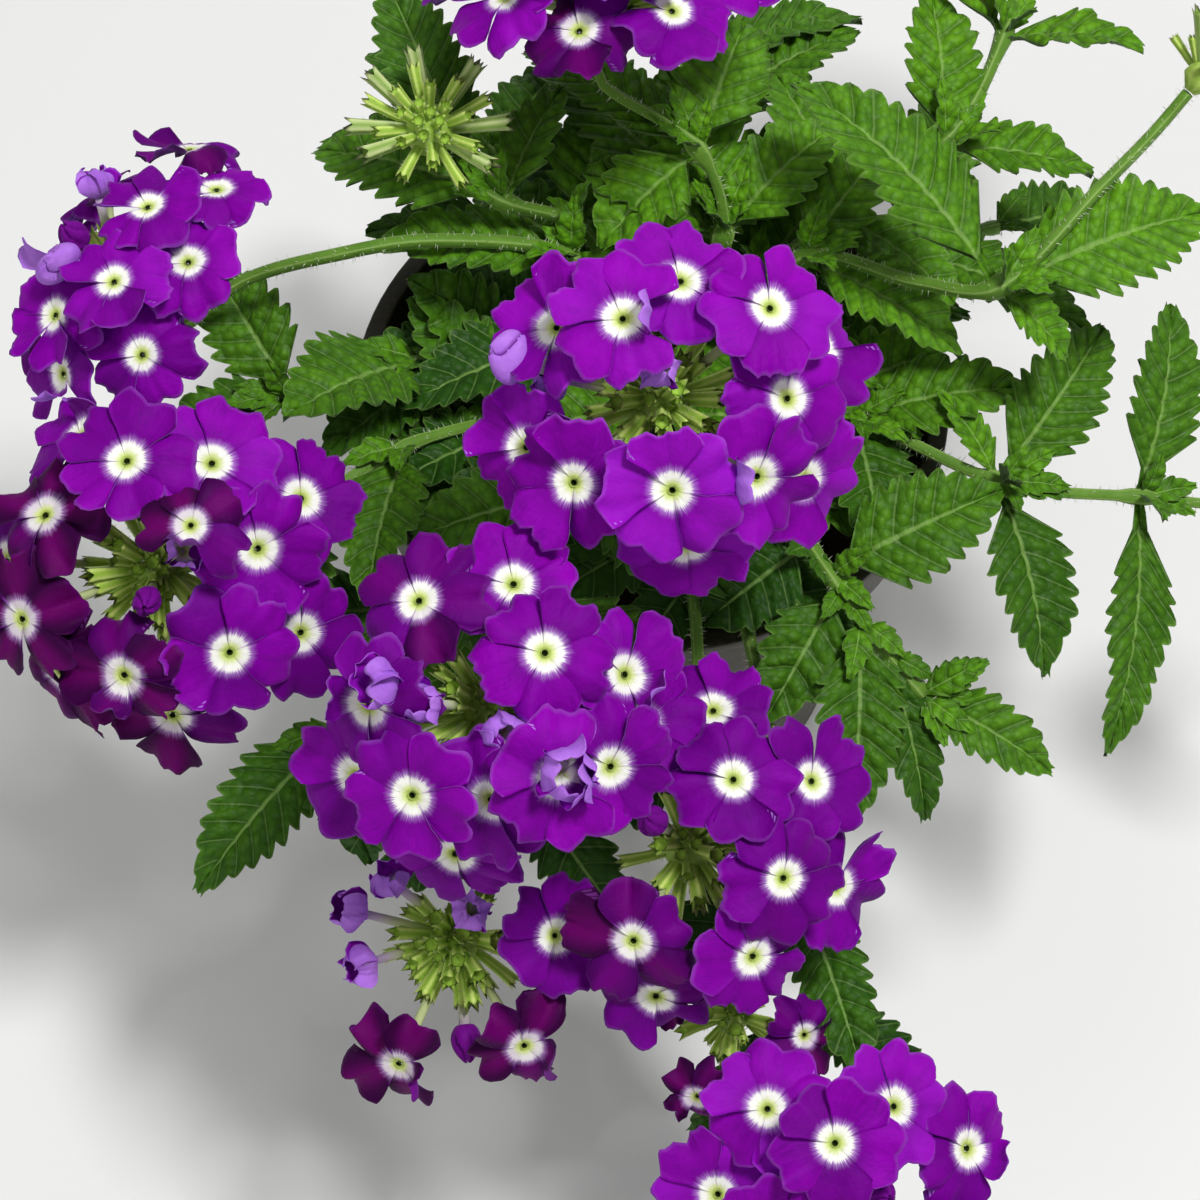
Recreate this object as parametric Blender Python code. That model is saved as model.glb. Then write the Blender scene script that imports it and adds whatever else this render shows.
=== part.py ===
"""A potted trailing verbena: nursery pot, peat, leafy shoots and the flower heads they carry.

The origin is the middle of the pot's underside and +Z is up. Sizes in this file are in
millimetres, and each mesh is scaled to metres when its object is made.
"""

import itertools
import math
import random

import bmesh
import bpy
from mathutils import Matrix, Vector
from mathutils.bvhtree import BVHTree
from mathutils.geometry import interpolate_bezier

MM = 0.001
SEAT = 0.3
CLEARANCE = 0.35
GOLDEN_ANGLE = 137.5

# Pot
POT_HEIGHT = 90.0
POT_RIM_RADIUS = 52.5
POT_BASE_RADIUS = 37.5
POT_WALL = 1.6
POT_FLOOR = 2.4
POT_COLLAR_HEIGHT = 15.0
POT_COLLAR_STEP = 1.8
POT_LIP_HEIGHT = 2.2
POT_CHAMFER = 1.5
POT_SIDES = 24
DRAIN_HOLES = 4
DRAIN_RADIUS = 4.0
DRAIN_CIRCLE = 25.0
DRAIN_SIDES = 6

# Peat
PEAT_TOP = 81.0
PEAT_RINGS = (0.55, 1.0)
PEAT_LUMP = 0.9
HOLE_DEPTH = 11.0
HOLE_SIDES = 4
HOLE_TWIST = 20.0
NECK_ABOVE_PEAT = 5.0
PEAT_SEED = 11

# Stems
STEM_ROOT_RADIUS = 1.3
STEM_TIP_RADIUS = 1.0
STEM_SIDES = 4
STEM_STEP = 15.0
STEM_MARKS = 20
INNER_RING = 7.0
OUTER_RING = 15.0

# Leaves
LEAF_THICK = 0.75
LEAF_ARCH = 0.10
LEAF_FOLD = 0.30
LEAF_OUTWARD = 0.006
PETIOLE_HALF = 1.1
PAIR_SPREAD = 62.0
PAIR_SPREAD_CHANGE = 14.0
PAIR_WIDTH = 0.42
PAIR_LENGTHS = (0.88, 1.1)
PAIR_RISES = (-0.25, 0.3)
SMALL_LEAF = 41.0
ROOT_START = 0.2
LEAF_SEED = 5

# Flower heads
CORE_RADIUS = 5.0
CORE_BELOW = 4.0
CORE_RINGS = ((-CORE_BELOW, 0.35), (-1.0, 1.0), (3.0, 0.9), (6.0, 0.4))
CORE_SIDES = 6
SMALL_HEAD = 0.8
PEDUNCLE_RUN = 12.0
REACH = 24.5
FLORET_RADIUS = 10.6
FLORET_THICK = 0.75
FLORET_LEAN = 0.5
PETALS = 5
PETAL_SIZES = (1.0, 1.03, 0.96, 0.9, 1.0)
LOBE_HALF_ANGLE = 22.0
SPOKE_RADIUS = 0.8
TUBE_RADIUS = 0.95
TUBE_SIDES = 3
LIMB_FROM = 0.3
CALYX_LENGTH = 11.0
CALYX_RADIUS = 1.4
CALYX_FOOT_RADIUS = 0.6
MIDDLE_CALYX = 0.8
MIDDLE_SPREAD = (8.0, 46.0)
BUD_RADIUS = 2.5
BUD_LENGTH = 6.0
BUD_BELOW_FLORETS = 9.0
BUD_SIDES = 4
SPOKE_START = 3.4

# The small moves that keep a piece clear of its neighbours, tried in this order
CALYX_TURNS = (0, 12, -12, 24, -24, 36, -36)
LEAF_TRIES = (
    (0, 0, 1.0), (0, 9, 1.0), (0, -9, 1.0), (12, 0, 1.0), (-12, 0, 1.0), (0, 18, 1.0),
    (0, -18, 1.0), (14, 12, 1.0), (-14, 12, 1.0), (14, -12, 1.0), (-14, -12, 1.0),
    (24, 0, 0.95), (-24, 0, 0.95), (0, 30, 0.9), (0, -30, 0.9), (26, 16, 0.85),
    (-26, 16, 0.85), (30, -16, 0.8), (-30, -16, 0.8), (0, 12, 0.72), (0, -12, 0.72),
    (40, 20, 0.7), (-40, 20, 0.7), (0, 42, 0.66), (0, -42, 0.66),
)
FLORET_SHIFTS = (0, 1.5, -1.5, 3, -3, 4.5)
FLORET_LEANS = (0, -6, 6, -12, 12)
FLORET_ROLLS = (0, 9, -9, 17, -17)
FLORET_SHRINKS = (1.0, 0.9)

# Each head: where it is, which way it faces (bearing, height in degrees), then its florets as
# (clock angle, angle off the axis, reach), its shut buds as (clock, angle off the axis), how
# many bare calyces fill its middle, and how big its florets are.
HEADS = {
    "head_crown": dict(
        at=(0, -42, 150), faces=(-90, 62), size=1.0, calyces=8,
        florets=(
            (150, 46, 25), (80, 42, 24), (36, 46, 26), (-4, 52, 24), (16, 76, 26),
            (-30, 78, 26), (-43, 48, 23), (-85, 36, 25), (-80, 74, 24), (-133, 50, 25),
            (-158, 66, 24), (122, 30, 27),
        ),
        buds=((172, 56), (105, 8)),
    ),
    "head_front": dict(
        at=(-26, -83, 128), faces=(-100, 58), size=1.0, calyces=4,
        florets=(
            (116, 48, 25), (74, 58, 25), (40, 38, 23), (-126, 36, 25), (-78, 34, 23),
            (14, 70, 24), (-22, 60, 25), (-100, 68, 24), (176, 40, 24), (-152, 62, 24),
            (-34, 34, 27),
        ),
        buds=((26, 52), (168, 22), (-29, 16)),
    ),
    "head_left": dict(
        at=(-80, -49, 112), faces=(-110, 60), size=1.05, calyces=6,
        florets=(
            (52, 58, 24), (24, 84, 27), (6, 58, 24), (-42, 58, 25), (-24, 84, 27),
            (-82, 80, 25), (-93, 48, 24), (-128, 66, 24), (-154, 52, 24), (178, 62, 25),
            (150, 44, 23), (88, 40, 25), (118, 70, 25),
        ),
        buds=((0, 30), (-60, 22)),
    ),
    "head_left_high": dict(
        at=(-88, -3, 125), faces=(160, 50), size=0.9, calyces=3,
        florets=(
            (-17, 56, 23), (-32, 80, 24), (-58, 62, 22), (-72, 90, 24), (8, 80, 25),
            (-98, 56, 20), (-118, 84, 20), (40, 74, 23), (86, 62, 19), (132, 66, 17),
            (-160, 70, 17),
        ),
        buds=((-50, 24), (60, 34)),
    ),
    "head_front_low": dict(
        at=(5, -93, 100), faces=(-85, 58), size=0.98, calyces=4,
        florets=(
            (112, 62, 25), (82, 70, 24), (66, 36, 23), (32, 54, 25), (-12, 34, 24),
            (-14, 72, 25), (-60, 48, 24), (-128, 42, 24), (-104, 72, 25),
        ),
        buds=((140, 30),),
    ),
    "head_fading": dict(
        at=(-32, -102, 85), faces=(-100, 48), size=0.92, calyces=11,
        florets=((17, 52, 24), (-113, 48, 24), (-44, 50, 24)),
        buds=((125, 56), (-176, 46), (62, 34), (-80, 64)),
    ),
    "head_trailing": dict(
        at=(28, -133, 62), faces=(-75, 55), size=1.0, calyces=4,
        florets=(
            (133, 52, 25), (66, 42, 24), (112, 26, 26), (180, 60, 24), (18, 56, 25),
            (-160, 36, 23), (-80, 34, 24), (-34, 50, 24), (-104, 68, 24),
        ),
        buds=((10, 14),),
    ),
    "head_trailing_small": dict(
        at=(13, -109, 70), faces=(-110, 50), size=0.68, calyces=5,
        florets=((140, 44, 17), (0, 52, 17), (-110, 44, 17)),
        buds=((70, 40),),
    ),
    "head_back": dict(
        at=(-9, 34, 150), faces=(95, 60), size=0.98, calyces=5,
        florets=(
            (-60, 72, 25), (-130, 66, 25), (-98, 76, 23), (-76, 50, 24), (-112, 42, 25),
            (-40, 44, 23), (-158, 42, 24), (166, 68, 24), (134, 46, 24), (98, 66, 25),
            (62, 44, 23), (26, 66, 25), (-14, 66, 24),
        ),
        buds=((0, 20),),
    ),
    "head_back_right": dict(
        at=(74, 84, 144), faces=(62, 62), size=1.0, calyces=4,
        florets=(
            (0, 48, 24), (36, 66, 25), (72, 44, 24), (108, 68, 25), (144, 46, 23),
            (180, 66, 25), (-144, 44, 24), (-108, 68, 25), (-72, 46, 24), (-36, 68, 25),
        ),
        buds=((20, 16), (200, 18)),
    ),
    "head_green": dict(
        at=(-37, 18, 140), faces=(-90, 68), size=0.85, calyces=0,
        florets=(), buds=(),
        ring=((100, 82), (52, 74), (2, 80), (-38, 70), (178, 80), (140, 70), (-150, 62)),
    ),
    "head_unopened": dict(
        at=(91, 29, 140), faces=(40, 35), size=0.7, calyces=0,
        florets=(), buds=((0, 8),),
        ring=((20, 40), (80, 44), (140, 40), (200, 44), (260, 40), (320, 44)),
    ),
}

# Each shoot: the bearing and ring of its hole in the peat, the points that its stem runs
# through, the head it carries, its chosen leaves as (place along the stem, tip, width) and its
# ruled leaf pairs as (place along the stem, length). Place 1 is the first listed point.
SHOOTS = {
    "shoot_crown": dict(
        hole=(-80, INNER_RING), head="head_crown",
        run=((1, -11, 98), (1, -22, 118)),
        leaves=(
            (1.0, (-26, -24, 112), 15), (1.0, (27, -22, 111), 15),
        ),
        pairs=(),
    ),
    "shoot_front": dict(
        hole=(-128, INNER_RING), head="head_front",
        run=((-7, -14, 98), (-12, -34, 110), (-19, -56, 116)),
        leaves=(
            (1.0, (-34, -30, 100), 15), (2.0, (-40, -40, 106), 14), (2.0, (12, -52, 108), 14),
            (3.0, (-46, -62, 112), 13), (3.0, (8, -74, 106), 12),
        ),
        pairs=(),
    ),
    "shoot_left": dict(
        hole=(-158, OUTER_RING), head="head_left",
        run=((-24, -10, 96), (-42, -20, 103), (-60, -34, 104)),
        leaves=(
            (2.0, (-46, -52, 100), 13), (1.0, (-40, -32, 98), 14), (3.0, (-56, -62, 96), 13),
            (3.0, (-86, -22, 98), 13), (0.4, (-46, -27, 100), 15),
        ),
        pairs=(),
    ),
    "shoot_left_high": dict(
        hole=(180, INNER_RING), head="head_left_high",
        run=((-9, 5, 100), (-14, 10, 116), (-36, 6, 126), (-53, 3, 126), (-69, 2, 120)),
        leaves=((2.0, (-48, 9, 120), 13), (2.0, (10, 0, 124), 11), (1.0, (-43, -12, 103), 16)),
        pairs=(),
    ),
    "shoot_green": dict(
        hole=(130, INNER_RING), head="head_green",
        run=((-6, 13, 102), (-13, 16, 117), (-26, 13, 128)),
        leaves=(
            (3.0, (-58, 28, 122), 17), (3.4, (-46, 52, 140), 13), (3.0, (-15, 34, 132), 9),
            (2.0, (-8, 40, 122), 13), (1.0, (-32, 30, 110), 15),
        ),
        pairs=(),
    ),
    "shoot_back": dict(
        hole=(80, INNER_RING), head="head_back",
        run=((5, 11, 100), (12, 15, 117), (7, 22, 131)),
        leaves=(
            (2.0, (-12, 20, 126), 15), (2.0, (32, 34, 122), 14), (1.0, (28, -6, 108), 14),
            (3.0, (16, 48, 132), 15), (3.0, (-20, 38, 132), 11), (1.0, (-14, 30, 112), 14),
        ),
        pairs=(),
    ),
    "shoot_back_right": dict(
        hole=(48, OUTER_RING), head="head_back_right",
        run=((18, 17, 98), (33, 22, 113), (50, 28, 124), (61, 48, 129)),
        leaves=(
            (3.0, (48, 56, 132), 13), (3.0, (76, 26, 118), 12), (4.0, (84, 42, 132), 11),
            (4.0, (44, 68, 136), 12), (2.0, (22, 50, 116), 15), (2.0, (52, 6, 108), 14),
            (1.0, (34, 36, 104), 14),
        ),
        pairs=(),
    ),
    "shoot_right_high": dict(
        hole=(10, INNER_RING), head="head_unopened",
        run=((14, 5, 100), (26, 10, 116), (44, -2, 125), (57, -6, 130), (73, 9, 136)),
        leaves=(
            (4.0, (23, 28, 140), 18), (4.0, (93, 12, 126), 18), (4.0, (68, -14, 120), 9),
            (2.0, (52, -8, 112), 13), (2.0, (40, 30, 120), 12), (1.0, (38, -10, 106), 14),
        ),
        pairs=(),
    ),
    "shoot_right": dict(
        hole=(-14, OUTER_RING), head=None,
        run=((22, -7, 95), (35, -13, 101), (59, -26, 101), (83, -27, 98), (104, -27, 94)),
        leaves=(
            (4.0, (89, 6, 108), 13), (4.0, (76, -67, 80), 11), (3.0, (66, -54, 84), 14),
            (3.0, (78, 4, 104), 14), (2.0, (64, -10, 106), 13), (2.0, (38, -40, 98), 14),
            (3.0, (48, -12, 108), 6), (5.0, (124, -16, 96), 10), (5.0, (122, -42, 88), 9),
            (0.4, (52, -8, 99), 15), (1.0, (51, 8, 98), 13),
        ),
        pairs=(),
    ),
    "shoot_right_front": dict(
        hole=(-42, OUTER_RING), head=None,
        run=((18, -24, 97), (26, -40, 103), (34, -53, 101), (44, -63, 94)),
        leaves=(
            (2.4, (58, -31, 107), 16), (2.6, (18, -67, 93), 13), (3.0, (32, -82, 86), 14),
            (3.4, (45, -79, 80), 9), (4.0, (66, -72, 84), 10), (4.0, (55, -58, 97), 5),
            (1.0, (46, -28, 97), 14),
        ),
        pairs=(),
    ),
    "shoot_front_low": dict(
        hole=(-80, OUTER_RING), head="head_front_low",
        run=((5, -32, 96), (7, -56, 98), (6, -74, 93)),
        leaves=(
            (1.0, (30, -42, 96), 13), (1.0, (-18, -46, 96), 13), (3.0, (26, -84, 94), 11),
            (3.0, (-14, -84, 90), 12), (0.4, (10, -50, 90), 15),
        ),
        pairs=(),
    ),
    "shoot_trailing": dict(
        hole=(-60, OUTER_RING), head="head_trailing",
        run=((12, -34, 94), (17, -58, 93), (21, -80, 85), (26, -102, 72)),
        fork=(3.0, "head_trailing_small"),
        leaves=(
            (3.3, (-6, -112, 74), 13), (3.6, (27, -124, 74), 11), (4.2, (6, -124, 54), 11),
            (4.2, (46, -116, 50), 11), (0.4, (26, -47, 91), 14),
        ),
        pairs=(),
    ),
    "shoot_fading": dict(
        hole=(-107, OUTER_RING), head="head_fading",
        run=((-7, -30, 94), (-13, -54, 94), (-21, -78, 87)),
        leaves=(
            (1.0, (-30, -42, 92), 13), (2.0, (-44, -62, 92), 13), (3.0, (-4, -98, 78), 12),
            (3.0, (-46, -90, 78), 12), (0.4, (-12, -49, 90), 14),
        ),
        pairs=(),
    ),
    "shoot_left_low": dict(
        hole=(-133, OUTER_RING), head=None,
        run=((-22, -26, 94), (-38, -48, 95), (-52, -67, 90)),
        leaves=(
            (3.0, (-75, -92, 80), 14), (3.0, (-47, -84, 74), 12), (2.0, (-62, -46, 90), 13),
            (0.4, (-42, -38, 96), 14),
        ),
        pairs=(),
    ),
    "shoot_left_back": dict(
        hole=(170, OUTER_RING), head=None,
        run=((-26, 3, 94), (-40, 0, 99), (-54, -6, 103), (-62, -11, 104)),
        leaves=(
            (2.0, (-58, -22, 108), 19), (1.0, (-42, 10, 110), 15), (4.0, (-76, 14, 108), 14),
            (4.0, (-84, -18, 100), 12), (0.4, (-52, 0, 100), 15),
        ),
        pairs=(),
    ),
    "shoot_back_low": dict(
        hole=(84, OUTER_RING), head=None,
        run=((2, 28, 97), (4, 44, 104), (7, 62, 104), (9, 76, 97)),
        leaves=((4.0, (14, 100, 86), 14),),
        pairs=((1.0, 40), (2.0, 40), (3.0, 34)),
    ),
    "shoot_right_low": dict(
        hole=(22, OUTER_RING), head=None,
        run=((27, 14, 96), (45, 22, 102), (62, 30, 98)),
        leaves=((3.0, (84, 40, 86), 14),),
        pairs=((1.0, 38), (2.0, 36)),
    ),
    "shoot_left_low_back": dict(
        hole=(128, OUTER_RING), head=None,
        run=((-18, 26, 96), (-28, 42, 103), (-38, 58, 98)),
        leaves=((3.0, (-50, 82, 86), 14),),
        pairs=((1.0, 36), (2.0, 34)),
    ),
}

# A leaf's half outline as (share of its length, share of its half width): where the petiole ends,
# then tooth tips and the notches behind them by turns. Its midrib points follow, each with the number
# of the outline point where its fan of triangles begins.
BROAD_EDGE = (
    (0.09, None), (0.32, 0.92), (0.36, 0.76), (0.54, 1.0), (0.58, 0.82), (0.76, 0.76),
    (0.80, 0.54),
)
BROAD_MIDRIB = ((0.38, 0), (0.66, 4))
SMALL_EDGE = ((0.1, None), (0.4, 1.0), (0.45, 0.82), (0.7, 0.82), (0.75, 0.6))
SMALL_MIDRIB = ((0.5, 0),)


def polar(bearing, height=0.0):
    """The unit vector at a bearing, raised by an angle."""
    flat = math.cos(math.radians(height))
    turn = math.radians(bearing)
    return Vector((flat * math.cos(turn), flat * math.sin(turn), math.sin(math.radians(height))))


def material(name, colour, roughness):
    finish = bpy.data.materials.new(name)
    finish.use_nodes = True
    finish.diffuse_color = (*colour, 1.0)
    shader = finish.node_tree.nodes["Principled BSDF"]
    shader.inputs["Base Color"].default_value = (*colour, 1.0)
    shader.inputs["Roughness"].default_value = roughness
    return finish


def new_object(name, body, finish=None):
    """An object from a body, which is (points in millimetres, faces)."""
    points, faces = body
    mesh = bpy.data.meshes.new(name)
    mesh.from_pydata([Vector(p) * MM for p in points], [], faces)
    mesh.validate()
    if finish:
        mesh.materials.append(finish)
    thing = bpy.data.objects.new(name, mesh)
    bpy.context.scene.collection.objects.link(thing)
    return thing


def apply_modifiers(thing):
    """Puts what the modifiers make of an object into its mesh."""
    bpy.context.view_layer.update()
    seen = thing.evaluated_get(bpy.context.evaluated_depsgraph_get())
    finished = bpy.data.meshes.new_from_object(seen)
    thing.modifiers.clear()
    thing.data = finished


def remove(things):
    for thing in things:
        bpy.data.objects.remove(thing)


def largest_shell(mesh):
    """Keeps the outer skin of the biggest body in a mesh: no scrap, and no sealed hollow."""
    bm = bmesh.new()
    bm.from_mesh(mesh)
    bmesh.ops.triangulate(bm, faces=bm.faces)
    left = set(bm.faces)
    shells = []
    while left:
        front = [left.pop()]
        shell = list(front)
        while front:
            face = front.pop()
            near = {other for edge in face.edges for other in edge.link_faces if other in left}
            left -= near
            front.extend(near)
            shell.extend(near)
        shells.append(shell)
    shells.sort(key=len)
    scraps = [face for shell in shells[:-1] for face in shell]
    bmesh.ops.delete(bm, geom=scraps, context="FACES")
    loose = [vert for vert in bm.verts if not vert.link_faces]
    bmesh.ops.delete(bm, geom=loose, context="VERTS")
    bm.to_mesh(mesh)
    bm.free()


def fuse(name, bodies, finish):
    """One object from bodies that overlap: the first body with the rest joined to it."""
    thing = new_object(name, bodies[0], finish)
    group = bpy.data.collections.new(name + "_repeats")
    bpy.context.scene.collection.children.link(group)
    for body in bodies[1:]:
        repeat = new_object(name + "_repeat", body)
        bpy.context.scene.collection.objects.unlink(repeat)
        group.objects.link(repeat)
    join = thing.modifiers.new("Join repeats", "BOOLEAN")
    join.operation = "UNION"
    join.operand_type = "COLLECTION"
    join.collection = group
    join.solver = "MANIFOLD"
    apply_modifiers(thing)
    remove(list(group.objects))
    bpy.data.collections.remove(group)
    largest_shell(thing.data)
    return thing


# Pot and peat


def turned(profile, sides):
    """A body turned about Z from a closed (radius, height) profile that runs anticlockwise."""
    points, faces = [], []
    count = len(profile)
    for side in range(sides):
        turn = 2 * math.pi * side / sides
        for radius, height in profile:
            points.append((radius * math.cos(turn), radius * math.sin(turn), height))
    for side in range(sides):
        here, there = side * count, (side + 1) % sides * count
        for step in range(count - 1):
            faces.append((here + step, there + step, there + step + 1, here + step + 1))
    faces.append(tuple(side * count for side in reversed(range(sides))))
    faces.append(tuple(side * count + count - 1 for side in range(sides)))
    return points, faces


def pot_wall_radius(height):
    """Outer radius of the pot's tapered wall at a height."""
    taper = (POT_RIM_RADIUS - 2 * POT_COLLAR_STEP - POT_BASE_RADIUS) / POT_HEIGHT
    return POT_BASE_RADIUS + taper * height


def build_pot():
    """A tapered nursery pot with a stepped collar, a rolled rim and round drain holes."""
    collar = POT_HEIGHT - POT_COLLAR_HEIGHT
    lip = POT_RIM_RADIUS - POT_COLLAR_STEP
    profile = (
        (POT_BASE_RADIUS - POT_CHAMFER, 0.0),
        (POT_BASE_RADIUS, POT_CHAMFER),
        (pot_wall_radius(collar), collar),
        (lip, collar + 1.0),
        (lip, POT_HEIGHT - POT_LIP_HEIGHT - 0.8),
        (POT_RIM_RADIUS, POT_HEIGHT - POT_LIP_HEIGHT),
        (POT_RIM_RADIUS, POT_HEIGHT - 0.6),
        (POT_RIM_RADIUS - 0.8, POT_HEIGHT),
        (lip - POT_WALL, POT_HEIGHT),
        (lip - POT_WALL, collar + 1.5),
        (pot_wall_radius(collar) - POT_WALL, collar - 1.0),
        (POT_BASE_RADIUS - POT_WALL, POT_FLOOR),
    )
    plastic = material("pot_plastic", (0.03, 0.027, 0.022), 0.6)
    pot = new_object("pot", turned(profile, POT_SIDES), plastic)
    cutters = []
    for hole in range(DRAIN_HOLES):
        bpy.ops.mesh.primitive_cylinder_add(
            vertices=DRAIN_SIDES, radius=DRAIN_RADIUS * MM, depth=4 * POT_FLOOR * MM,
            location=polar(360 * hole / DRAIN_HOLES) * DRAIN_CIRCLE * MM,
        )
        cutters.append(bpy.context.object)
        cut = pot.modifiers.new("Drain hole", "BOOLEAN")
        cut.object = cutters[-1]
    apply_modifiers(pot)
    remove(cutters)
    return pot


def peat_wall_radius(height):
    return pot_wall_radius(height) - POT_WALL - SEAT


def hole_place(shoot):
    """Middle of a shoot's hole, at the peat's nominal top."""
    bearing, ring = shoot["hole"]
    place = polar(bearing) * ring
    place.z = PEAT_TOP
    return place


def build_peat():
    """Lumpy peat that fills the pot to below the rim, with a plain hole for each stem."""
    rand = random.Random(PEAT_SEED)
    collar = POT_HEIGHT - POT_COLLAR_HEIGHT
    rim = POT_RIM_RADIUS - POT_COLLAR_STEP - POT_WALL - SEAT
    floor = POT_FLOOR + SEAT
    rings = [(POT_BASE_RADIUS - POT_WALL - SEAT, floor)]
    rings += [(peat_wall_radius(collar), collar - 1.0), (rim, collar + 2.0)]
    points, faces = [], []
    for radius, height in rings:
        for side in range(POT_SIDES):
            points.append(polar(360 * side / POT_SIDES) * radius + Vector((0, 0, height)))
    for share in reversed(PEAT_RINGS):
        for side in range(POT_SIDES):
            lump = PEAT_TOP + rand.uniform(-PEAT_LUMP, PEAT_LUMP)
            place = polar(360 * side / POT_SIDES) * (rim * share)
            points.append(place + Vector((0, 0, lump)))
    points.append(Vector((0, 0, PEAT_TOP)))
    for ring in range(len(rings) + len(PEAT_RINGS) - 1):
        for side in range(POT_SIDES):
            a, b = ring * POT_SIDES + side, ring * POT_SIDES + (side + 1) % POT_SIDES
            faces.extend(((a, b, b + POT_SIDES), (a, b + POT_SIDES, a + POT_SIDES)))
    top = (len(rings) + len(PEAT_RINGS) - 1) * POT_SIDES
    for side in range(POT_SIDES):
        faces.append((top + side, top + (side + 1) % POT_SIDES, len(points) - 1))
    faces.append(tuple(reversed(range(POT_SIDES))))
    peat = new_object("peat", (points, faces), material("peat", (0.035, 0.022, 0.014), 0.95))
    across = (STEM_ROOT_RADIUS + SEAT) * math.sqrt(2)
    cutters = []
    for shoot in SHOOTS.values():
        bpy.ops.mesh.primitive_cylinder_add(
            vertices=HOLE_SIDES, radius=across * MM, depth=2 * HOLE_DEPTH * MM,
            location=hole_place(shoot) * MM,
            rotation=(0, 0, math.radians(shoot["hole"][0] + HOLE_TWIST)),
        )
        cutters.append(bpy.context.object)
        cut = peat.modifiers.new("Stem hole", "BOOLEAN")
        cut.object = cutters[-1]
    apply_modifiers(peat)
    remove(cutters)
    return peat


# Stems


def curve_span(points, span, steps):
    """Points of the smooth curve through points, from one of them to the next."""
    last = len(points) - 1
    before, here = points[max(span - 1, 0)], points[span]
    there, after = points[span + 1], points[min(span + 2, last)]
    first_handle = here + (there - before) / 6
    second_handle = there - (after - here) / 6
    return interpolate_bezier(here, first_handle, second_handle, there, steps + 1)


def curve_through(points):
    """The smooth curve through points, in steps of about the stem's step."""
    path = []
    for span in range(len(points) - 1):
        steps = max(1, round((points[span + 1] - points[span]).length / STEM_STEP))
        path.extend(curve_span(points, span, steps)[:-1])
    return path + [points[-1]]


def head_axis(head):
    return polar(*HEADS[head]["faces"])


def core_scale(head):
    """A small head has a small core, and the others are alike."""
    size = HEADS[head]["size"]
    return size if size < SMALL_HEAD else 1.0


def stem_end(head):
    """The last points of a stem below the head that it carries."""
    centre, axis = Vector(HEADS[head]["at"]), head_axis(head)
    return [centre - axis * PEDUNCLE_RUN, centre - axis * (CORE_BELOW * core_scale(head) + SEAT)]


def stem_points(shoot):
    """A shoot's route: down in its hole, up out of it, along its points and to its head."""
    hole = hole_place(shoot)
    foot = hole - Vector((0, 0, HOLE_DEPTH - SEAT))
    above = hole + Vector((0, 0, NECK_ABOVE_PEAT))
    points = [foot, above] + [Vector(p) for p in shoot["run"]]
    if shoot["head"]:
        points += stem_end(shoot["head"])
    return points


def along(points, place):
    """Point and direction on the curve through points, at a place counted in points."""
    span = min(int(place), len(points) - 2)
    run = curve_span(points, span, STEM_MARKS)
    mark = round((place - span) * STEM_MARKS)
    step = min(mark, STEM_MARKS - 1)
    return run[mark], (run[step + 1] - run[step]).normalized()


def tube(path, radii, sides):
    """A closed tube along a path, with a flat cap at each end."""
    points, faces = [], []
    side_way = (path[1] - path[0]).orthogonal()
    for index, place in enumerate(path):
        ahead = path[min(index + 1, len(path) - 1)] - path[max(index - 1, 0)]
        ahead.normalize()
        side_way = (side_way - ahead * side_way.dot(ahead)).normalized()
        other_way = ahead.cross(side_way)
        for side in range(sides):
            turn = 2 * math.pi * side / sides
            out = side_way * math.cos(turn) + other_way * math.sin(turn)
            points.append(place + out * radii[index])
    for ring in range(len(path) - 1):
        for side in range(sides):
            a, b = ring * sides + side, ring * sides + (side + 1) % sides
            faces.extend(((a, b, b + sides), (a, b + sides, a + sides)))
    faces.append(tuple(reversed(range(sides))))
    top = (len(path) - 1) * sides
    faces.append(tuple(range(top, top + sides)))
    return points, faces


def stem_body(points):
    path = curve_through(points)
    thinning = (STEM_TIP_RADIUS - STEM_ROOT_RADIUS) / (len(path) - 1)
    radii = [STEM_ROOT_RADIUS + thinning * index for index in range(len(path))]
    return tube(path, radii, STEM_SIDES)


# Leaves


def leaf_frame(base, tip):
    """A leaf's directions: along it, across it, and the way its upper face looks."""
    ahead = (tip - base).normalized()
    facing = Vector((base.x * LEAF_OUTWARD, base.y * LEAF_OUTWARD, 1.0))
    across = ahead.cross(facing)
    if across.length < 0.05:
        across = ahead.cross(Vector((-base.y, base.x, 0.0)).cross(ahead))
    across.normalize()
    return ahead, across, across.cross(ahead)


def half_fans(edge, midrib, toothed):
    """Triangles of one half of a blade, as outline and midrib point numbers.

    Outline points are numbered from 0 at the root to len(edge) + 1 at the tip, and the midrib's
    are "m" and their number. The underside leaves the tooth tips out.
    """
    last = len(edge) + 1
    kept = [n for n in range(last + 1) if toothed or n in (0, last) or n % 2 and n > 1]
    triangles = []
    for number in range(len(midrib)):
        first = midrib[number][1]
        final = midrib[number + 1][1] if number + 1 < len(midrib) else last
        if not toothed and final != last:
            final += 1
        if not toothed and first:
            first += 1
        run = [n for n in kept if first <= n <= final]
        triangles += [(("m", number), a, b) for a, b in zip(run, run[1:])]
        if final != last:
            triangles.append((("m", number), final, ("m", number + 1)))
    return kept, triangles


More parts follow.
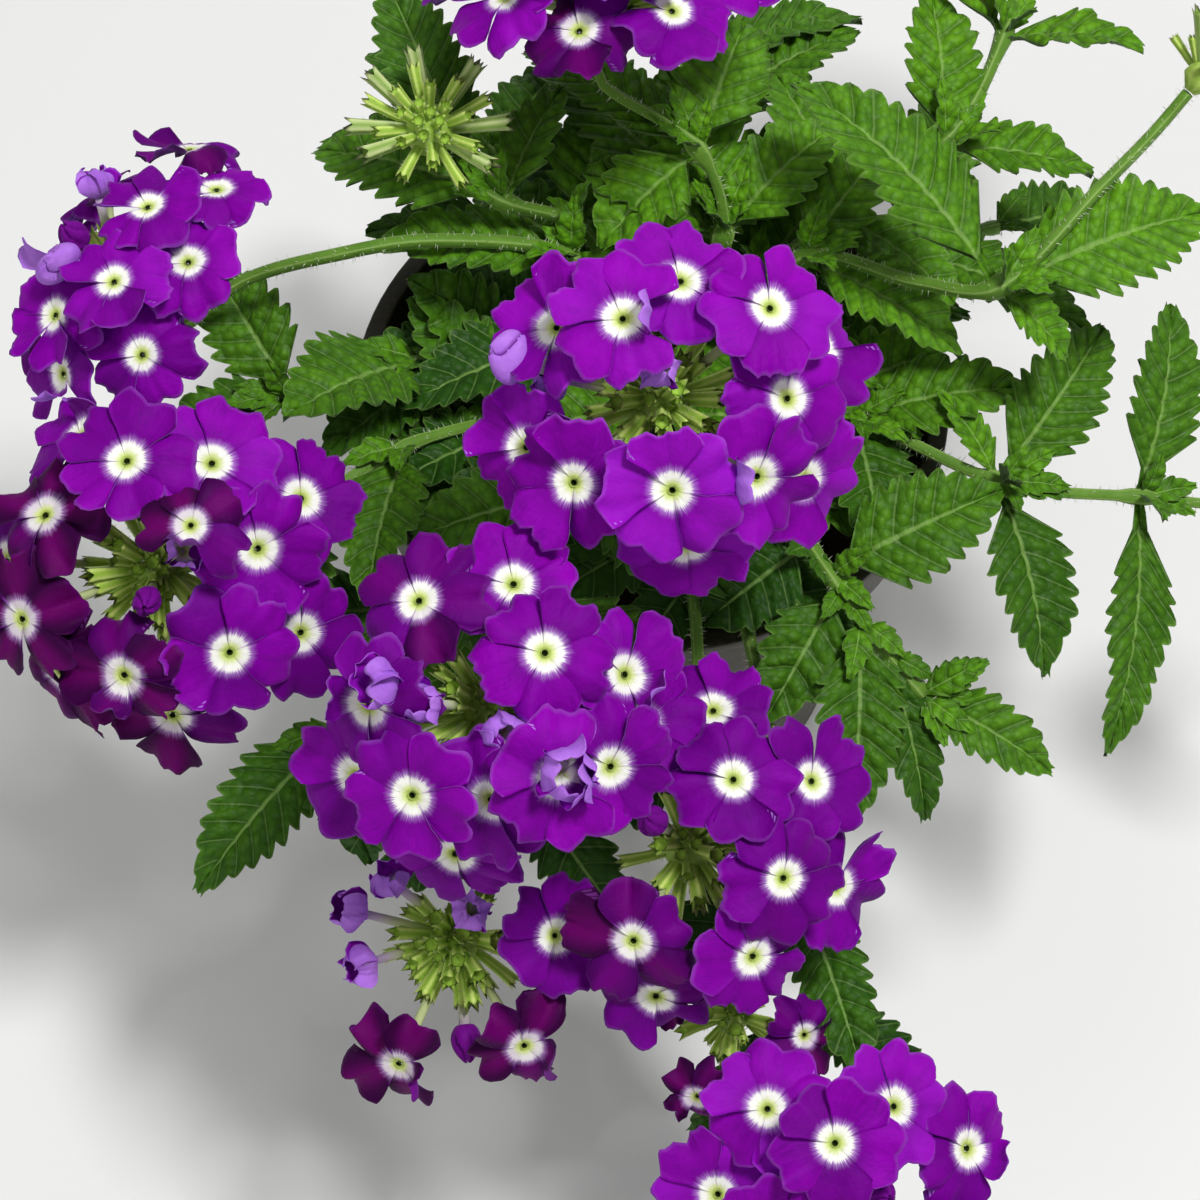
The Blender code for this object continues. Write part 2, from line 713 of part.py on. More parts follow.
def leaf_body(base, tip, width, spare=0.0):
    """A toothed blade from its root in the stem to its tip, arched along and folded across."""
    ahead, across, facing = leaf_frame(base, tip)
    base = base + ahead * ROOT_START
    length = (tip - base).length
    small = length < SMALL_LEAF
    edge, midrib = (SMALL_EDGE, SMALL_MIDRIB) if small else (BROAD_EDGE, BROAD_MIDRIB)
    half = width / 2 + spare
    petiole = PETIOLE_HALF + spare

    def at(share, side, level):
        height = length * LEAF_ARCH * 4 * share * (1 - share) + abs(side) * LEAF_FOLD * share
        return base + ahead * (share * length) + across * side + facing * (height + level)

    outline = [(0, 0)]
    outline += [(share, petiole if wide is None else half * wide) for share, wide in edge]
    outline.append((1, 0))
    points, faces, numbers, loops = [], [], {}, {}
    for level, toothed in ((LEAF_THICK / 2 + spare, True), (-LEAF_THICK / 2 - spare, False)):
        kept, triangles = half_fans(edge, midrib, toothed)
        for side in (1, -1):
            for n in kept:
                if side < 0 and outline[n][1] == 0:
                    numbers[toothed, side, n] = numbers[toothed, 1, n]
                    continue
                numbers[toothed, side, n] = len(points)
                points.append(at(outline[n][0], side * outline[n][1], level))
        for n, (share, _) in enumerate(midrib):
            numbers[toothed, 1, ("m", n)] = numbers[toothed, -1, ("m", n)] = len(points)
            points.append(at(share, 0, level))
        loops[toothed] = kept
        for side in (1, -1):
            for triangle in triangles:
                face = [numbers[toothed, side, n] for n in triangle]
                faces.append(face if (side > 0) == toothed else face[::-1])
    for side in (1, -1):
        low = loops[False]
        for a, b in zip(low, low[1:]):
            wall = [numbers[False, side, a], numbers[False, side, b]]
            wall += [numbers[True, side, n] for n in range(b, a - 1, -1)]
            fan = [(wall[0], wall[n], wall[n + 1]) for n in range(1, len(wall) - 1)]
            faces.extend(face if side > 0 else face[::-1] for face in fan)
    return points, faces


def bent(base, tip, attempt):
    """A leaf's tip after one try of the bends that keep it clear of its neighbours."""
    turn, lift, share = attempt
    ahead, across, _ = leaf_frame(base, tip)
    way = (tip - base) * share
    way = Matrix.Rotation(math.radians(lift), 3, across) @ way
    return base + Matrix.Rotation(math.radians(turn), 3, "Z") @ way


def leaf_base(points, place):
    """A leaf's root on its stem's middle line, just below the place, and the stem's direction."""
    base, ahead = along(points, place + 1)
    return base - ahead * STEM_TIP_RADIUS, ahead


def shoot_leaves(name, shoot, points):
    """Each leaf of a shoot as (base, tip, width)."""
    rand = random.Random(f"{name}{LEAF_SEED}")
    leaves = []
    for place, tip, width in shoot["leaves"]:
        base, _ = leaf_base(points, place)
        leaves.append((base, Vector(tip), width))
    for place, length in shoot["pairs"]:
        base, ahead = leaf_base(points, place)
        for way in (-1, 1):
            spread = PAIR_SPREAD + rand.uniform(-PAIR_SPREAD_CHANGE, PAIR_SPREAD_CHANGE)
            level = Vector((ahead.x, ahead.y, 0)).normalized()
            out = Matrix.Rotation(math.radians(way * spread), 3, "Z") @ level
            long = length * rand.uniform(*PAIR_LENGTHS)
            out.z = rand.uniform(*PAIR_RISES)
            leaves.append((base, base + out.normalized() * long, long * PAIR_WIDTH))
    return leaves


# Flower heads


def head_frame(name):
    """A head's right, top and axis directions."""
    axis = head_axis(name)
    right = (Vector((1, 0, 0)) - axis * axis.x).normalized()
    return right, axis.cross(right), axis


def from_axis(name, clock, off):
    """The direction at a clock angle round a head's axis and an angle off it."""
    right, top, axis = head_frame(name)
    turn, lean = math.radians(clock), math.radians(off)
    out = right * math.cos(turn) + top * math.sin(turn)
    return out * math.sin(lean) + axis * math.cos(lean)


def core_body(name):
    """The fleshy tip of the flower stalk that calyces and tubes grow from."""
    scale = core_scale(name)
    centre, axis = Vector(HEADS[name]["at"]), head_axis(name)
    path = [centre + axis * (height * scale) for height, _ in CORE_RINGS]
    radii = [CORE_RADIUS * scale * share for _, share in CORE_RINGS]
    return tube(path, radii, CORE_SIDES)


def calyx_body(name, clock, off, length, spare=0.0, start=SPOKE_START):
    """A bare calyx: a slim horn that widens to its mouth."""
    centre = Vector(HEADS[name]["at"])
    out = from_axis(name, clock, off)
    sides = 4 if "ring" in HEADS[name] else 3
    path = [centre + out * start, centre + out * (length + CORE_RADIUS + spare)]
    return tube(path, [CALYX_FOOT_RADIUS + spare, CALYX_RADIUS + spare], sides)


def bud_body(name, clock, off, spare=0.0, start=SPOKE_START):
    """A shut bud on its tube."""
    centre = Vector(HEADS[name]["at"])
    out = from_axis(name, clock, off)
    reach = (REACH - BUD_BELOW_FLORETS) * HEADS[name]["size"]
    stops = ((start, 0.7), (reach + BUD_LENGTH * 0.5, BUD_RADIUS), (reach + BUD_LENGTH, 0.8))
    path = [centre + out * stop for stop, _ in stops]
    return tube(path, [radius + spare for _, radius in stops], BUD_SIDES)


def floret_body(name, place, spare=0.0, tube_from=SPOKE_START):
    """An open floret: five notched petals on a slim tube that grows from the head's core.

    A place is (clock angle, angle off the axis, reach, roll, spin, size).
    """
    clock, off, reach, roll, spin, size = place
    centre, axis = Vector(HEADS[name]["at"]), head_axis(name)
    out = from_axis(name, clock, off)
    facing = (out * FLORET_LEAN + axis * (1 - FLORET_LEAN)).normalized()
    facing = Matrix.Rotation(math.radians(roll), 3, from_axis(name, clock, 90)) @ facing
    right = head_frame(name)[0]
    right = (right - facing * right.dot(facing)).normalized()
    top = facing.cross(right)
    middle = centre + out * reach
    radius = FLORET_RADIUS * size

    def at(share, degrees, height):
        turn = math.radians(degrees)
        flat = (right * math.cos(turn) + top * math.sin(turn)) * (radius * share + spare)
        return middle + flat + facing * height

    petal_turn = 360 / PETALS
    upper, lower = [], []
    for petal, large in enumerate(PETAL_SIZES):
        mid = spin + petal_turn * petal
        upper.append(at(0.36, mid - petal_turn / 2, spare - 0.2))
        upper.append(at(0.96 * large, mid - LOBE_HALF_ANGLE, spare + 0.3))
        upper.append(at(0.84 * large, mid, spare + 0.6))
        upper.append(at(0.96 * large, mid + LOBE_HALF_ANGLE, spare + 0.3))
        lower.append(at(0.58 * large, mid, 0.3 - FLORET_THICK - spare))
    points = [middle + facing * (spare - 0.6)] + upper + lower
    faces = [(0, 1 + n, 1 + (n + 1) % len(upper)) for n in range(len(upper))]
    under = 1 + len(upper)
    neck = len(points)
    for petal in range(PETALS):
        gap, left, notch, far = (1 + 4 * petal + step for step in range(4))
        next_gap = 1 + 4 * ((petal + 1) % PETALS)
        below, below_next = under + petal, under + (petal + 1) % PETALS
        faces.extend((
            (left, gap, below), (notch, left, below), (far, notch, below),
            (next_gap, far, below), (next_gap, below, below_next),
        ))
    neck_place, foot_place = middle - facing * 2.0, centre + out * tube_from
    for spot, thick in ((neck_place, TUBE_RADIUS), (foot_place, SPOKE_RADIUS)):
        for side in range(TUBE_SIDES):
            turn = math.radians(spin + 360 * side / TUBE_SIDES)
            round_it = right * math.cos(turn) + top * math.sin(turn)
            round_it = (round_it - out * round_it.dot(out)).normalized()
            points.append(spot + round_it * (thick + spare))
    nearest = [round(TUBE_SIDES * petal / PETALS) % TUBE_SIDES for petal in range(PETALS)]
    for petal in range(PETALS):
        after = (petal + 1) % PETALS
        here, there = neck + nearest[petal], neck + nearest[after]
        faces.append((under + after, under + petal, here))
        if here != there:
            faces.append((under + after, here, there))
    for side in range(TUBE_SIDES):
        here, there = neck + side, neck + (side + 1) % TUBE_SIDES
        faces.append((there, here, here + TUBE_SIDES))
        faces.append((there, here + TUBE_SIDES, there + TUBE_SIDES))
    faces.append(tuple(neck + TUBE_SIDES + side for side in reversed(range(TUBE_SIDES))))
    return points, faces


# What keeps pieces of different nodes apart


def tree_of(body):
    return BVHTree.FromPolygons(*body)


def is_clear(placed, node, body):
    """Does a body cross nothing that other nodes have placed so far?"""
    tree = tree_of(body)
    return not any(other != node and tree.overlap(there) for other, there in placed)


def place_fixed(placed, node, body):
    placed.append((node, tree_of(body)))
    return body


def floret_tries():
    """The small moves of a floret, least first, as (lean, shift, roll, shrink)."""
    def effort(move):
        lean, shift, roll, shrink = move
        return abs(lean) / 6 + abs(shift) / 1.5 + abs(roll) / 9 + 40 * (1 - shrink)

    moves = itertools.product(FLORET_LEANS, FLORET_SHIFTS, FLORET_ROLLS, FLORET_SHRINKS)
    return sorted(moves, key=effort)


def place_floret(placed, limbs, name, place):
    """A floret's place where it crosses no other node, and if it can no floret of its own."""
    clock, off, reach, spin = place
    second_best = None
    for lean, shift, roll, shrink in floret_tries():
        near = (clock, off + lean, reach + shift, roll, spin, HEADS[name]["size"] * shrink)
        limb = tree_of(floret_body(name, near, CLEARANCE, (reach + shift) * LIMB_FROM))
        crowded = any(limb.overlap(other) for other in limbs)
        if crowded and second_best:
            continue
        if is_clear(placed, name, floret_body(name, near, CLEARANCE)):
            second_best = near
            if not crowded:
                break
    if second_best:
        limbs.append(tree_of(floret_body(name, second_best, 0.0, second_best[2] * LIMB_FROM)))
    return second_best


def calyx_places(name):
    """Bare calyces in the middle of a head, spread by the golden angle, or in a named ring."""
    head = HEADS[name]
    if "ring" in head:
        return [(clock, off, CALYX_LENGTH * head["size"]) for clock, off in head["ring"]]
    count = head["calyces"]
    least, spread = MIDDLE_SPREAD
    length = CALYX_LENGTH * MIDDLE_CALYX * head["size"]
    return [
        (GOLDEN_ANGLE * index, least + spread * (index + 0.5) / count, length)
        for index in range(count)
    ]


def place_head(placed, name):
    """All the bodies of a head, each floret moved a little where it would cross another."""
    head = HEADS[name]
    bodies = [place_fixed(placed, name, core_body(name))]
    limbs = []
    for number, (clock, off, reach) in enumerate(head["florets"]):
        wished = (clock, off, reach, GOLDEN_ANGLE * number)
        place = place_floret(placed, limbs, name, wished)
        if place:
            bodies.append(place_fixed(placed, name, floret_body(name, place)))
    for make, spots in ((bud_body, head["buds"]), (calyx_body, calyx_places(name))):
        for spot in spots:
            for turn in CALYX_TURNS:
                near = (name, spot[0] + turn, *spot[1:])
                shape = tree_of(make(*near, CLEARANCE, 2 * CORE_RADIUS))
                crowded = any(shape.overlap(limb) for limb in limbs)
                if not crowded and is_clear(placed, name, make(*near, CLEARANCE)):
                    bodies.append(place_fixed(placed, name, make(*near)))
                    limbs.append(tree_of(make(*near, 0.0, 2 * CORE_RADIUS)))
                    break
    return bodies


def place_stems(placed):
    """Each shoot's points and its first bodies: the stem, and a fork that carries a head."""
    shoots = {}
    for name, shoot in SHOOTS.items():
        points = stem_points(shoot)
        bodies = [place_fixed(placed, name, stem_body(points))]
        if "fork" in shoot:
            place, head = shoot["fork"]
            start, _ = along(points, place + 1)
            bodies.append(place_fixed(placed, name, stem_body([start] + stem_end(head))))
        shoots[name] = (points, bodies)
    return shoots


def place_leaves(placed, shoots):
    """Adds to each shoot every leaf that finds a clear place."""
    for name, (points, bodies) in shoots.items():
        for base, tip, width in shoot_leaves(name, SHOOTS[name], points):
            for attempt in LEAF_TRIES:
                end = bent(base, tip, attempt)
                wide = width * attempt[2]
                if is_clear(placed, name, leaf_body(base, end, wide, CLEARANCE)):
                    bodies.append(place_fixed(placed, name, leaf_body(base, end, wide)))
                    break


def mesh_body(thing):
    """An object's mesh as a body in millimetres."""
    points = [vert.co / MM for vert in thing.data.vertices]
    return points, [tuple(face.vertices) for face in thing.data.polygons]


def main():
    for thing in list(bpy.data.objects):
        bpy.data.objects.remove(thing)
    placed = []
    for thing in (build_pot(), build_peat()):
        place_fixed(placed, thing.name, mesh_body(thing))
    shoots = place_stems(placed)
    heads = {name: place_head(placed, name) for name in HEADS}
    place_leaves(placed, shoots)
    leaf_green = material("leaf_green", (0.09, 0.25, 0.03), 0.6)
    petal_violet = material("petal_violet", (0.24, 0.004, 0.42), 0.5)
    calyx_green = material("calyx_green", (0.2, 0.36, 0.08), 0.6)
    for name, (_, bodies) in shoots.items():
        fuse(name, bodies, leaf_green)
    for name, bodies in heads.items():
        fuse(name, bodies, petal_violet if HEADS[name]["florets"] else calyx_green)


main()
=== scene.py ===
"""The looks of a potted trailing verbena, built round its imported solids.

Sizes are in millimetres until a mesh is made, as in the part's own source. The photograph is
1200 by 1200, and the camera stands where it was taken from.
"""

import itertools
import math
import random

import bpy
from mathutils import Matrix, Vector, kdtree, noise
from mathutils.geometry import interpolate_bezier


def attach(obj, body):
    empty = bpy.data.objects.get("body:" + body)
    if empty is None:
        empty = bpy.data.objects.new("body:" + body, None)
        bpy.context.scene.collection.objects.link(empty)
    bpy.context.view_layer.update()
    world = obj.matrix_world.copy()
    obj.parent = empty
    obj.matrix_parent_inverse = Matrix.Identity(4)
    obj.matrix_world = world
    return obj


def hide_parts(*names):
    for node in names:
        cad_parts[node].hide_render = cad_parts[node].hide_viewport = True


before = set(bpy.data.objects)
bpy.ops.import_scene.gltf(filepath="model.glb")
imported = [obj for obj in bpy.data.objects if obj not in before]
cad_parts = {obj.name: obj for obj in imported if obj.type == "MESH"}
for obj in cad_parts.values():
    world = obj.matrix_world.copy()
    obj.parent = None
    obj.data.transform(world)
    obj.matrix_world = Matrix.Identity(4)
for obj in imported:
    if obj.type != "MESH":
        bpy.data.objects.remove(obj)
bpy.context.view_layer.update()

MM = 0.001

# Layout shared with the solids
POT_HEIGHT = 90.0
POT_RIM_RADIUS = 52.5
POT_BASE_RADIUS = 37.5
POT_WALL = 1.6
POT_FLOOR = 2.4
POT_COLLAR_HEIGHT = 15.0
POT_COLLAR_STEP = 1.8
POT_LIP_HEIGHT = 2.2
POT_CHAMFER = 1.5
DRAIN_HOLES = 4
DRAIN_RADIUS = 4.0
DRAIN_CIRCLE = 25.0
SEAT = 0.3
PEAT_TOP = 81.0
HOLE_DEPTH = 11.0
NECK_ABOVE_PEAT = 5.0
STEM_ROOT_RADIUS = 1.3
STEM_TIP_RADIUS = 1.0
INNER_RING = 7.0
OUTER_RING = 15.0
LEAF_THICK = 0.75
LEAF_ARCH = 0.10
LEAF_FOLD = 0.30
LEAF_OUTWARD = 0.006
ROOT_START = 0.2
PAIR_SPREAD = 62.0
PAIR_SPREAD_CHANGE = 14.0
PAIR_WIDTH = 0.42
PAIR_LENGTHS = (0.88, 1.1)
PAIR_RISES = (-0.25, 0.3)
SMALL_LEAF = 41.0
LEAF_SEED = 5
BROAD_TEETH = ((0.32, 0.92), (0.54, 1.0), (0.76, 0.76))
SMALL_TEETH = ((0.4, 1.0), (0.7, 0.82))
CORE_RADIUS = 5.0
CORE_BELOW = 4.0
CORE_RINGS = ((-CORE_BELOW, 0.35), (-1.0, 1.0), (3.0, 0.9), (6.0, 0.4))
SMALL_HEAD = 0.8
PEDUNCLE_RUN = 12.0
REACH = 24.5
FLORET_RADIUS = 10.6
FLORET_LEAN = 0.5
PETALS = 5
PETAL_SIZES = (1.0, 1.03, 0.96, 0.9, 1.0)
LOBE_HALF_ANGLE = 22.0
CALYX_LENGTH = 11.0
CALYX_RADIUS = 1.4
MIDDLE_CALYX = 0.8
MIDDLE_SPREAD = (8.0, 46.0)
BUD_RADIUS = 2.5
BUD_LENGTH = 6.0
BUD_BELOW_FLORETS = 9.0
GOLDEN_ANGLE = 137.5
CALYX_TURNS = (0, 12, -12, 24, -24, 36, -36)
LEAF_TRIES = (
    (0, 0, 1.0), (0, 9, 1.0), (0, -9, 1.0), (12, 0, 1.0), (-12, 0, 1.0), (0, 18, 1.0),
    (0, -18, 1.0), (14, 12, 1.0), (-14, 12, 1.0), (14, -12, 1.0), (-14, -12, 1.0),
    (24, 0, 0.95), (-24, 0, 0.95), (0, 30, 0.9), (0, -30, 0.9), (26, 16, 0.85),
    (-26, 16, 0.85), (30, -16, 0.8), (-30, -16, 0.8), (0, 12, 0.72), (0, -12, 0.72),
    (40, 20, 0.7), (-40, 20, 0.7), (0, 42, 0.66), (0, -42, 0.66),
)
FLORET_SHIFTS = (0, 1.5, -1.5, 3, -3, 4.5)
FLORET_LEANS = (0, -6, 6, -12, 12)
FLORET_ROLLS = (0, 9, -9, 17, -17)
FLORET_SHRINKS = (1.0, 0.9)
MATCH = 0.06

# Each head: where it is, which way it faces, then its florets as (clock angle, angle off the
# axis, reach), its shut buds, and how many bare calyces fill its middle. Age goes from 0, fresh,
# to 1, dark and fading. Curled names the florets with a petal folded in, and its number. A
# ring gives bare calyces by clock angle and angle off the axis.
HEADS = {
    "head_crown": dict(
        at=(0, -42, 150), faces=(-90, 62), calyces=8,
        florets=(
            (150, 46, 25), (80, 42, 24), (36, 46, 26), (-4, 52, 24), (16, 76, 26),
            (-30, 78, 26), (-43, 48, 23), (-85, 36, 25), (-80, 74, 24), (-133, 50, 25),
            (-158, 66, 24), (122, 30, 27),
        ),
        buds=((172, 56), (105, 8)), age=0.05, curled={11: 4, 6: 1},
    ),
    "head_front": dict(
        at=(-26, -83, 128), faces=(-100, 58), calyces=4,
        florets=(
            (116, 48, 25), (74, 58, 25), (40, 38, 23), (-126, 36, 25), (-78, 34, 23),
            (14, 70, 24), (-22, 60, 25), (-100, 68, 24), (176, 40, 24), (-152, 62, 24),
            (-34, 34, 27),
        ),
        buds=((26, 52), (168, 22), (-29, 16)), age=0.25, ages={0: 0.5, 8: 0.4},
        curled={8: 2, 10: 1, 5: 0},
    ),
    "head_left": dict(
        at=(-80, -49, 112), faces=(-110, 60), size=1.05, calyces=6,
        florets=(
            (52, 58, 24), (24, 84, 27), (6, 58, 24), (-42, 58, 25), (-24, 84, 27),
            (-82, 80, 25), (-93, 48, 24), (-128, 66, 24), (-154, 52, 24), (178, 62, 25),
            (150, 44, 23), (88, 40, 25), (118, 70, 25),
        ),
        buds=((0, 30), (-60, 22)), age=0.3,
        ages={0: 0.2, 1: 0.15, 5: 0.7, 6: 0.85, 7: 0.85, 8: 0.85, 9: 0.7, 10: 0.9, 12: 0.35},
        curled={6: 2, 9: 0, 12: 3},
    ),
    "head_left_high": dict(
        at=(-88, -3, 125), faces=(160, 50), size=0.9, calyces=3,
        florets=(
            (-17, 56, 23), (-32, 80, 24), (-58, 62, 22), (-72, 90, 24), (8, 80, 25),
            (-98, 56, 20), (-118, 84, 20), (40, 74, 23), (86, 62, 19), (132, 66, 17),
            (-160, 70, 17),
        ),
        buds=((-50, 24), (60, 34)), age=0.2, ages={7: 0.6, 8: 0.5, 10: 0.7}, curled={6: 2, 9: 1},
    ),
    "head_front_low": dict(
        at=(5, -93, 100), faces=(-85, 58), size=0.98, calyces=4,
        florets=(
            (112, 62, 25), (82, 70, 24), (66, 36, 23), (32, 54, 25), (-12, 34, 24),
            (-14, 72, 25), (-60, 48, 24), (-128, 42, 24), (-104, 72, 25),
        ),
        buds=((140, 30),), age=0.3, ages={7: 0.7, 8: 0.65, 0: 0.4},
    ),
    "head_fading": dict(
        at=(-32, -102, 85), faces=(-100, 48), size=0.92, calyces=11,
        florets=((17, 52, 24), (-113, 48, 24), (-44, 50, 24)),
        buds=((125, 56), (-176, 46), (62, 34), (-80, 64)), age=0.2, ages={1: 1.0, 2: 0.95},
        curled={1: 3, 2: 1},
    ),
    "head_trailing": dict(
        at=(28, -133, 62), faces=(-75, 55), calyces=4,
        florets=(
            (133, 52, 25), (66, 42, 24), (112, 26, 26), (180, 60, 24), (18, 56, 25),
            (-160, 36, 23), (-80, 34, 24), (-34, 50, 24), (-104, 68, 24),
        ),
        buds=((10, 14),), age=0.12, curled={4: 2},
    ),
    "head_trailing_small": dict(
        at=(13, -109, 70), faces=(-110, 50), size=0.68, calyces=5,
        florets=((140, 44, 17), (0, 52, 17), (-110, 44, 17)),
        buds=((70, 40),), age=0.85, curled={0: 1, 2: 4},
    ),
    "head_back": dict(
        at=(-9, 34, 150), faces=(95, 60), size=0.98, calyces=5,
        florets=(
            (-60, 72, 25), (-130, 66, 25), (-98, 76, 23), (-76, 50, 24), (-112, 42, 25),
            (-40, 44, 23), (-158, 42, 24), (166, 68, 24), (134, 46, 24), (98, 66, 25),
            (62, 44, 23), (26, 66, 25), (-14, 66, 24),
        ),
        buds=((0, 20),), age=0.12, ages={2: 0.6}, curled={8: 1},
    ),
    "head_back_right": dict(
        at=(74, 84, 144), faces=(62, 62), calyces=4,
        florets=(
            (0, 48, 24), (36, 66, 25), (72, 44, 24), (108, 68, 25), (144, 46, 23),
            (180, 66, 25), (-144, 44, 24), (-108, 68, 25), (-72, 46, 24), (-36, 68, 25),
        ),
        buds=((20, 16), (200, 18)), age=0.1,
    ),
    "head_green": dict(
        at=(-37, 18, 140), faces=(-90, 68), size=0.85,
        ring=((100, 82), (52, 74), (2, 80), (-38, 70), (178, 80), (140, 70), (-150, 62)),
    ),
    "head_unopened": dict(
        at=(91, 29, 140), faces=(40, 35), size=0.7, buds=((0, 8),),
        ring=((20, 40), (80, 44), (140, 40), (200, 44), (260, 40), (320, 44)),
    ),
}
PLAIN_HEAD = dict(size=1.0, calyces=0, florets=(), buds=(), ring=(), age=0.0, ages={}, curled={})
HEADS = {name: {**PLAIN_HEAD, **head} for name, head in HEADS.items()}

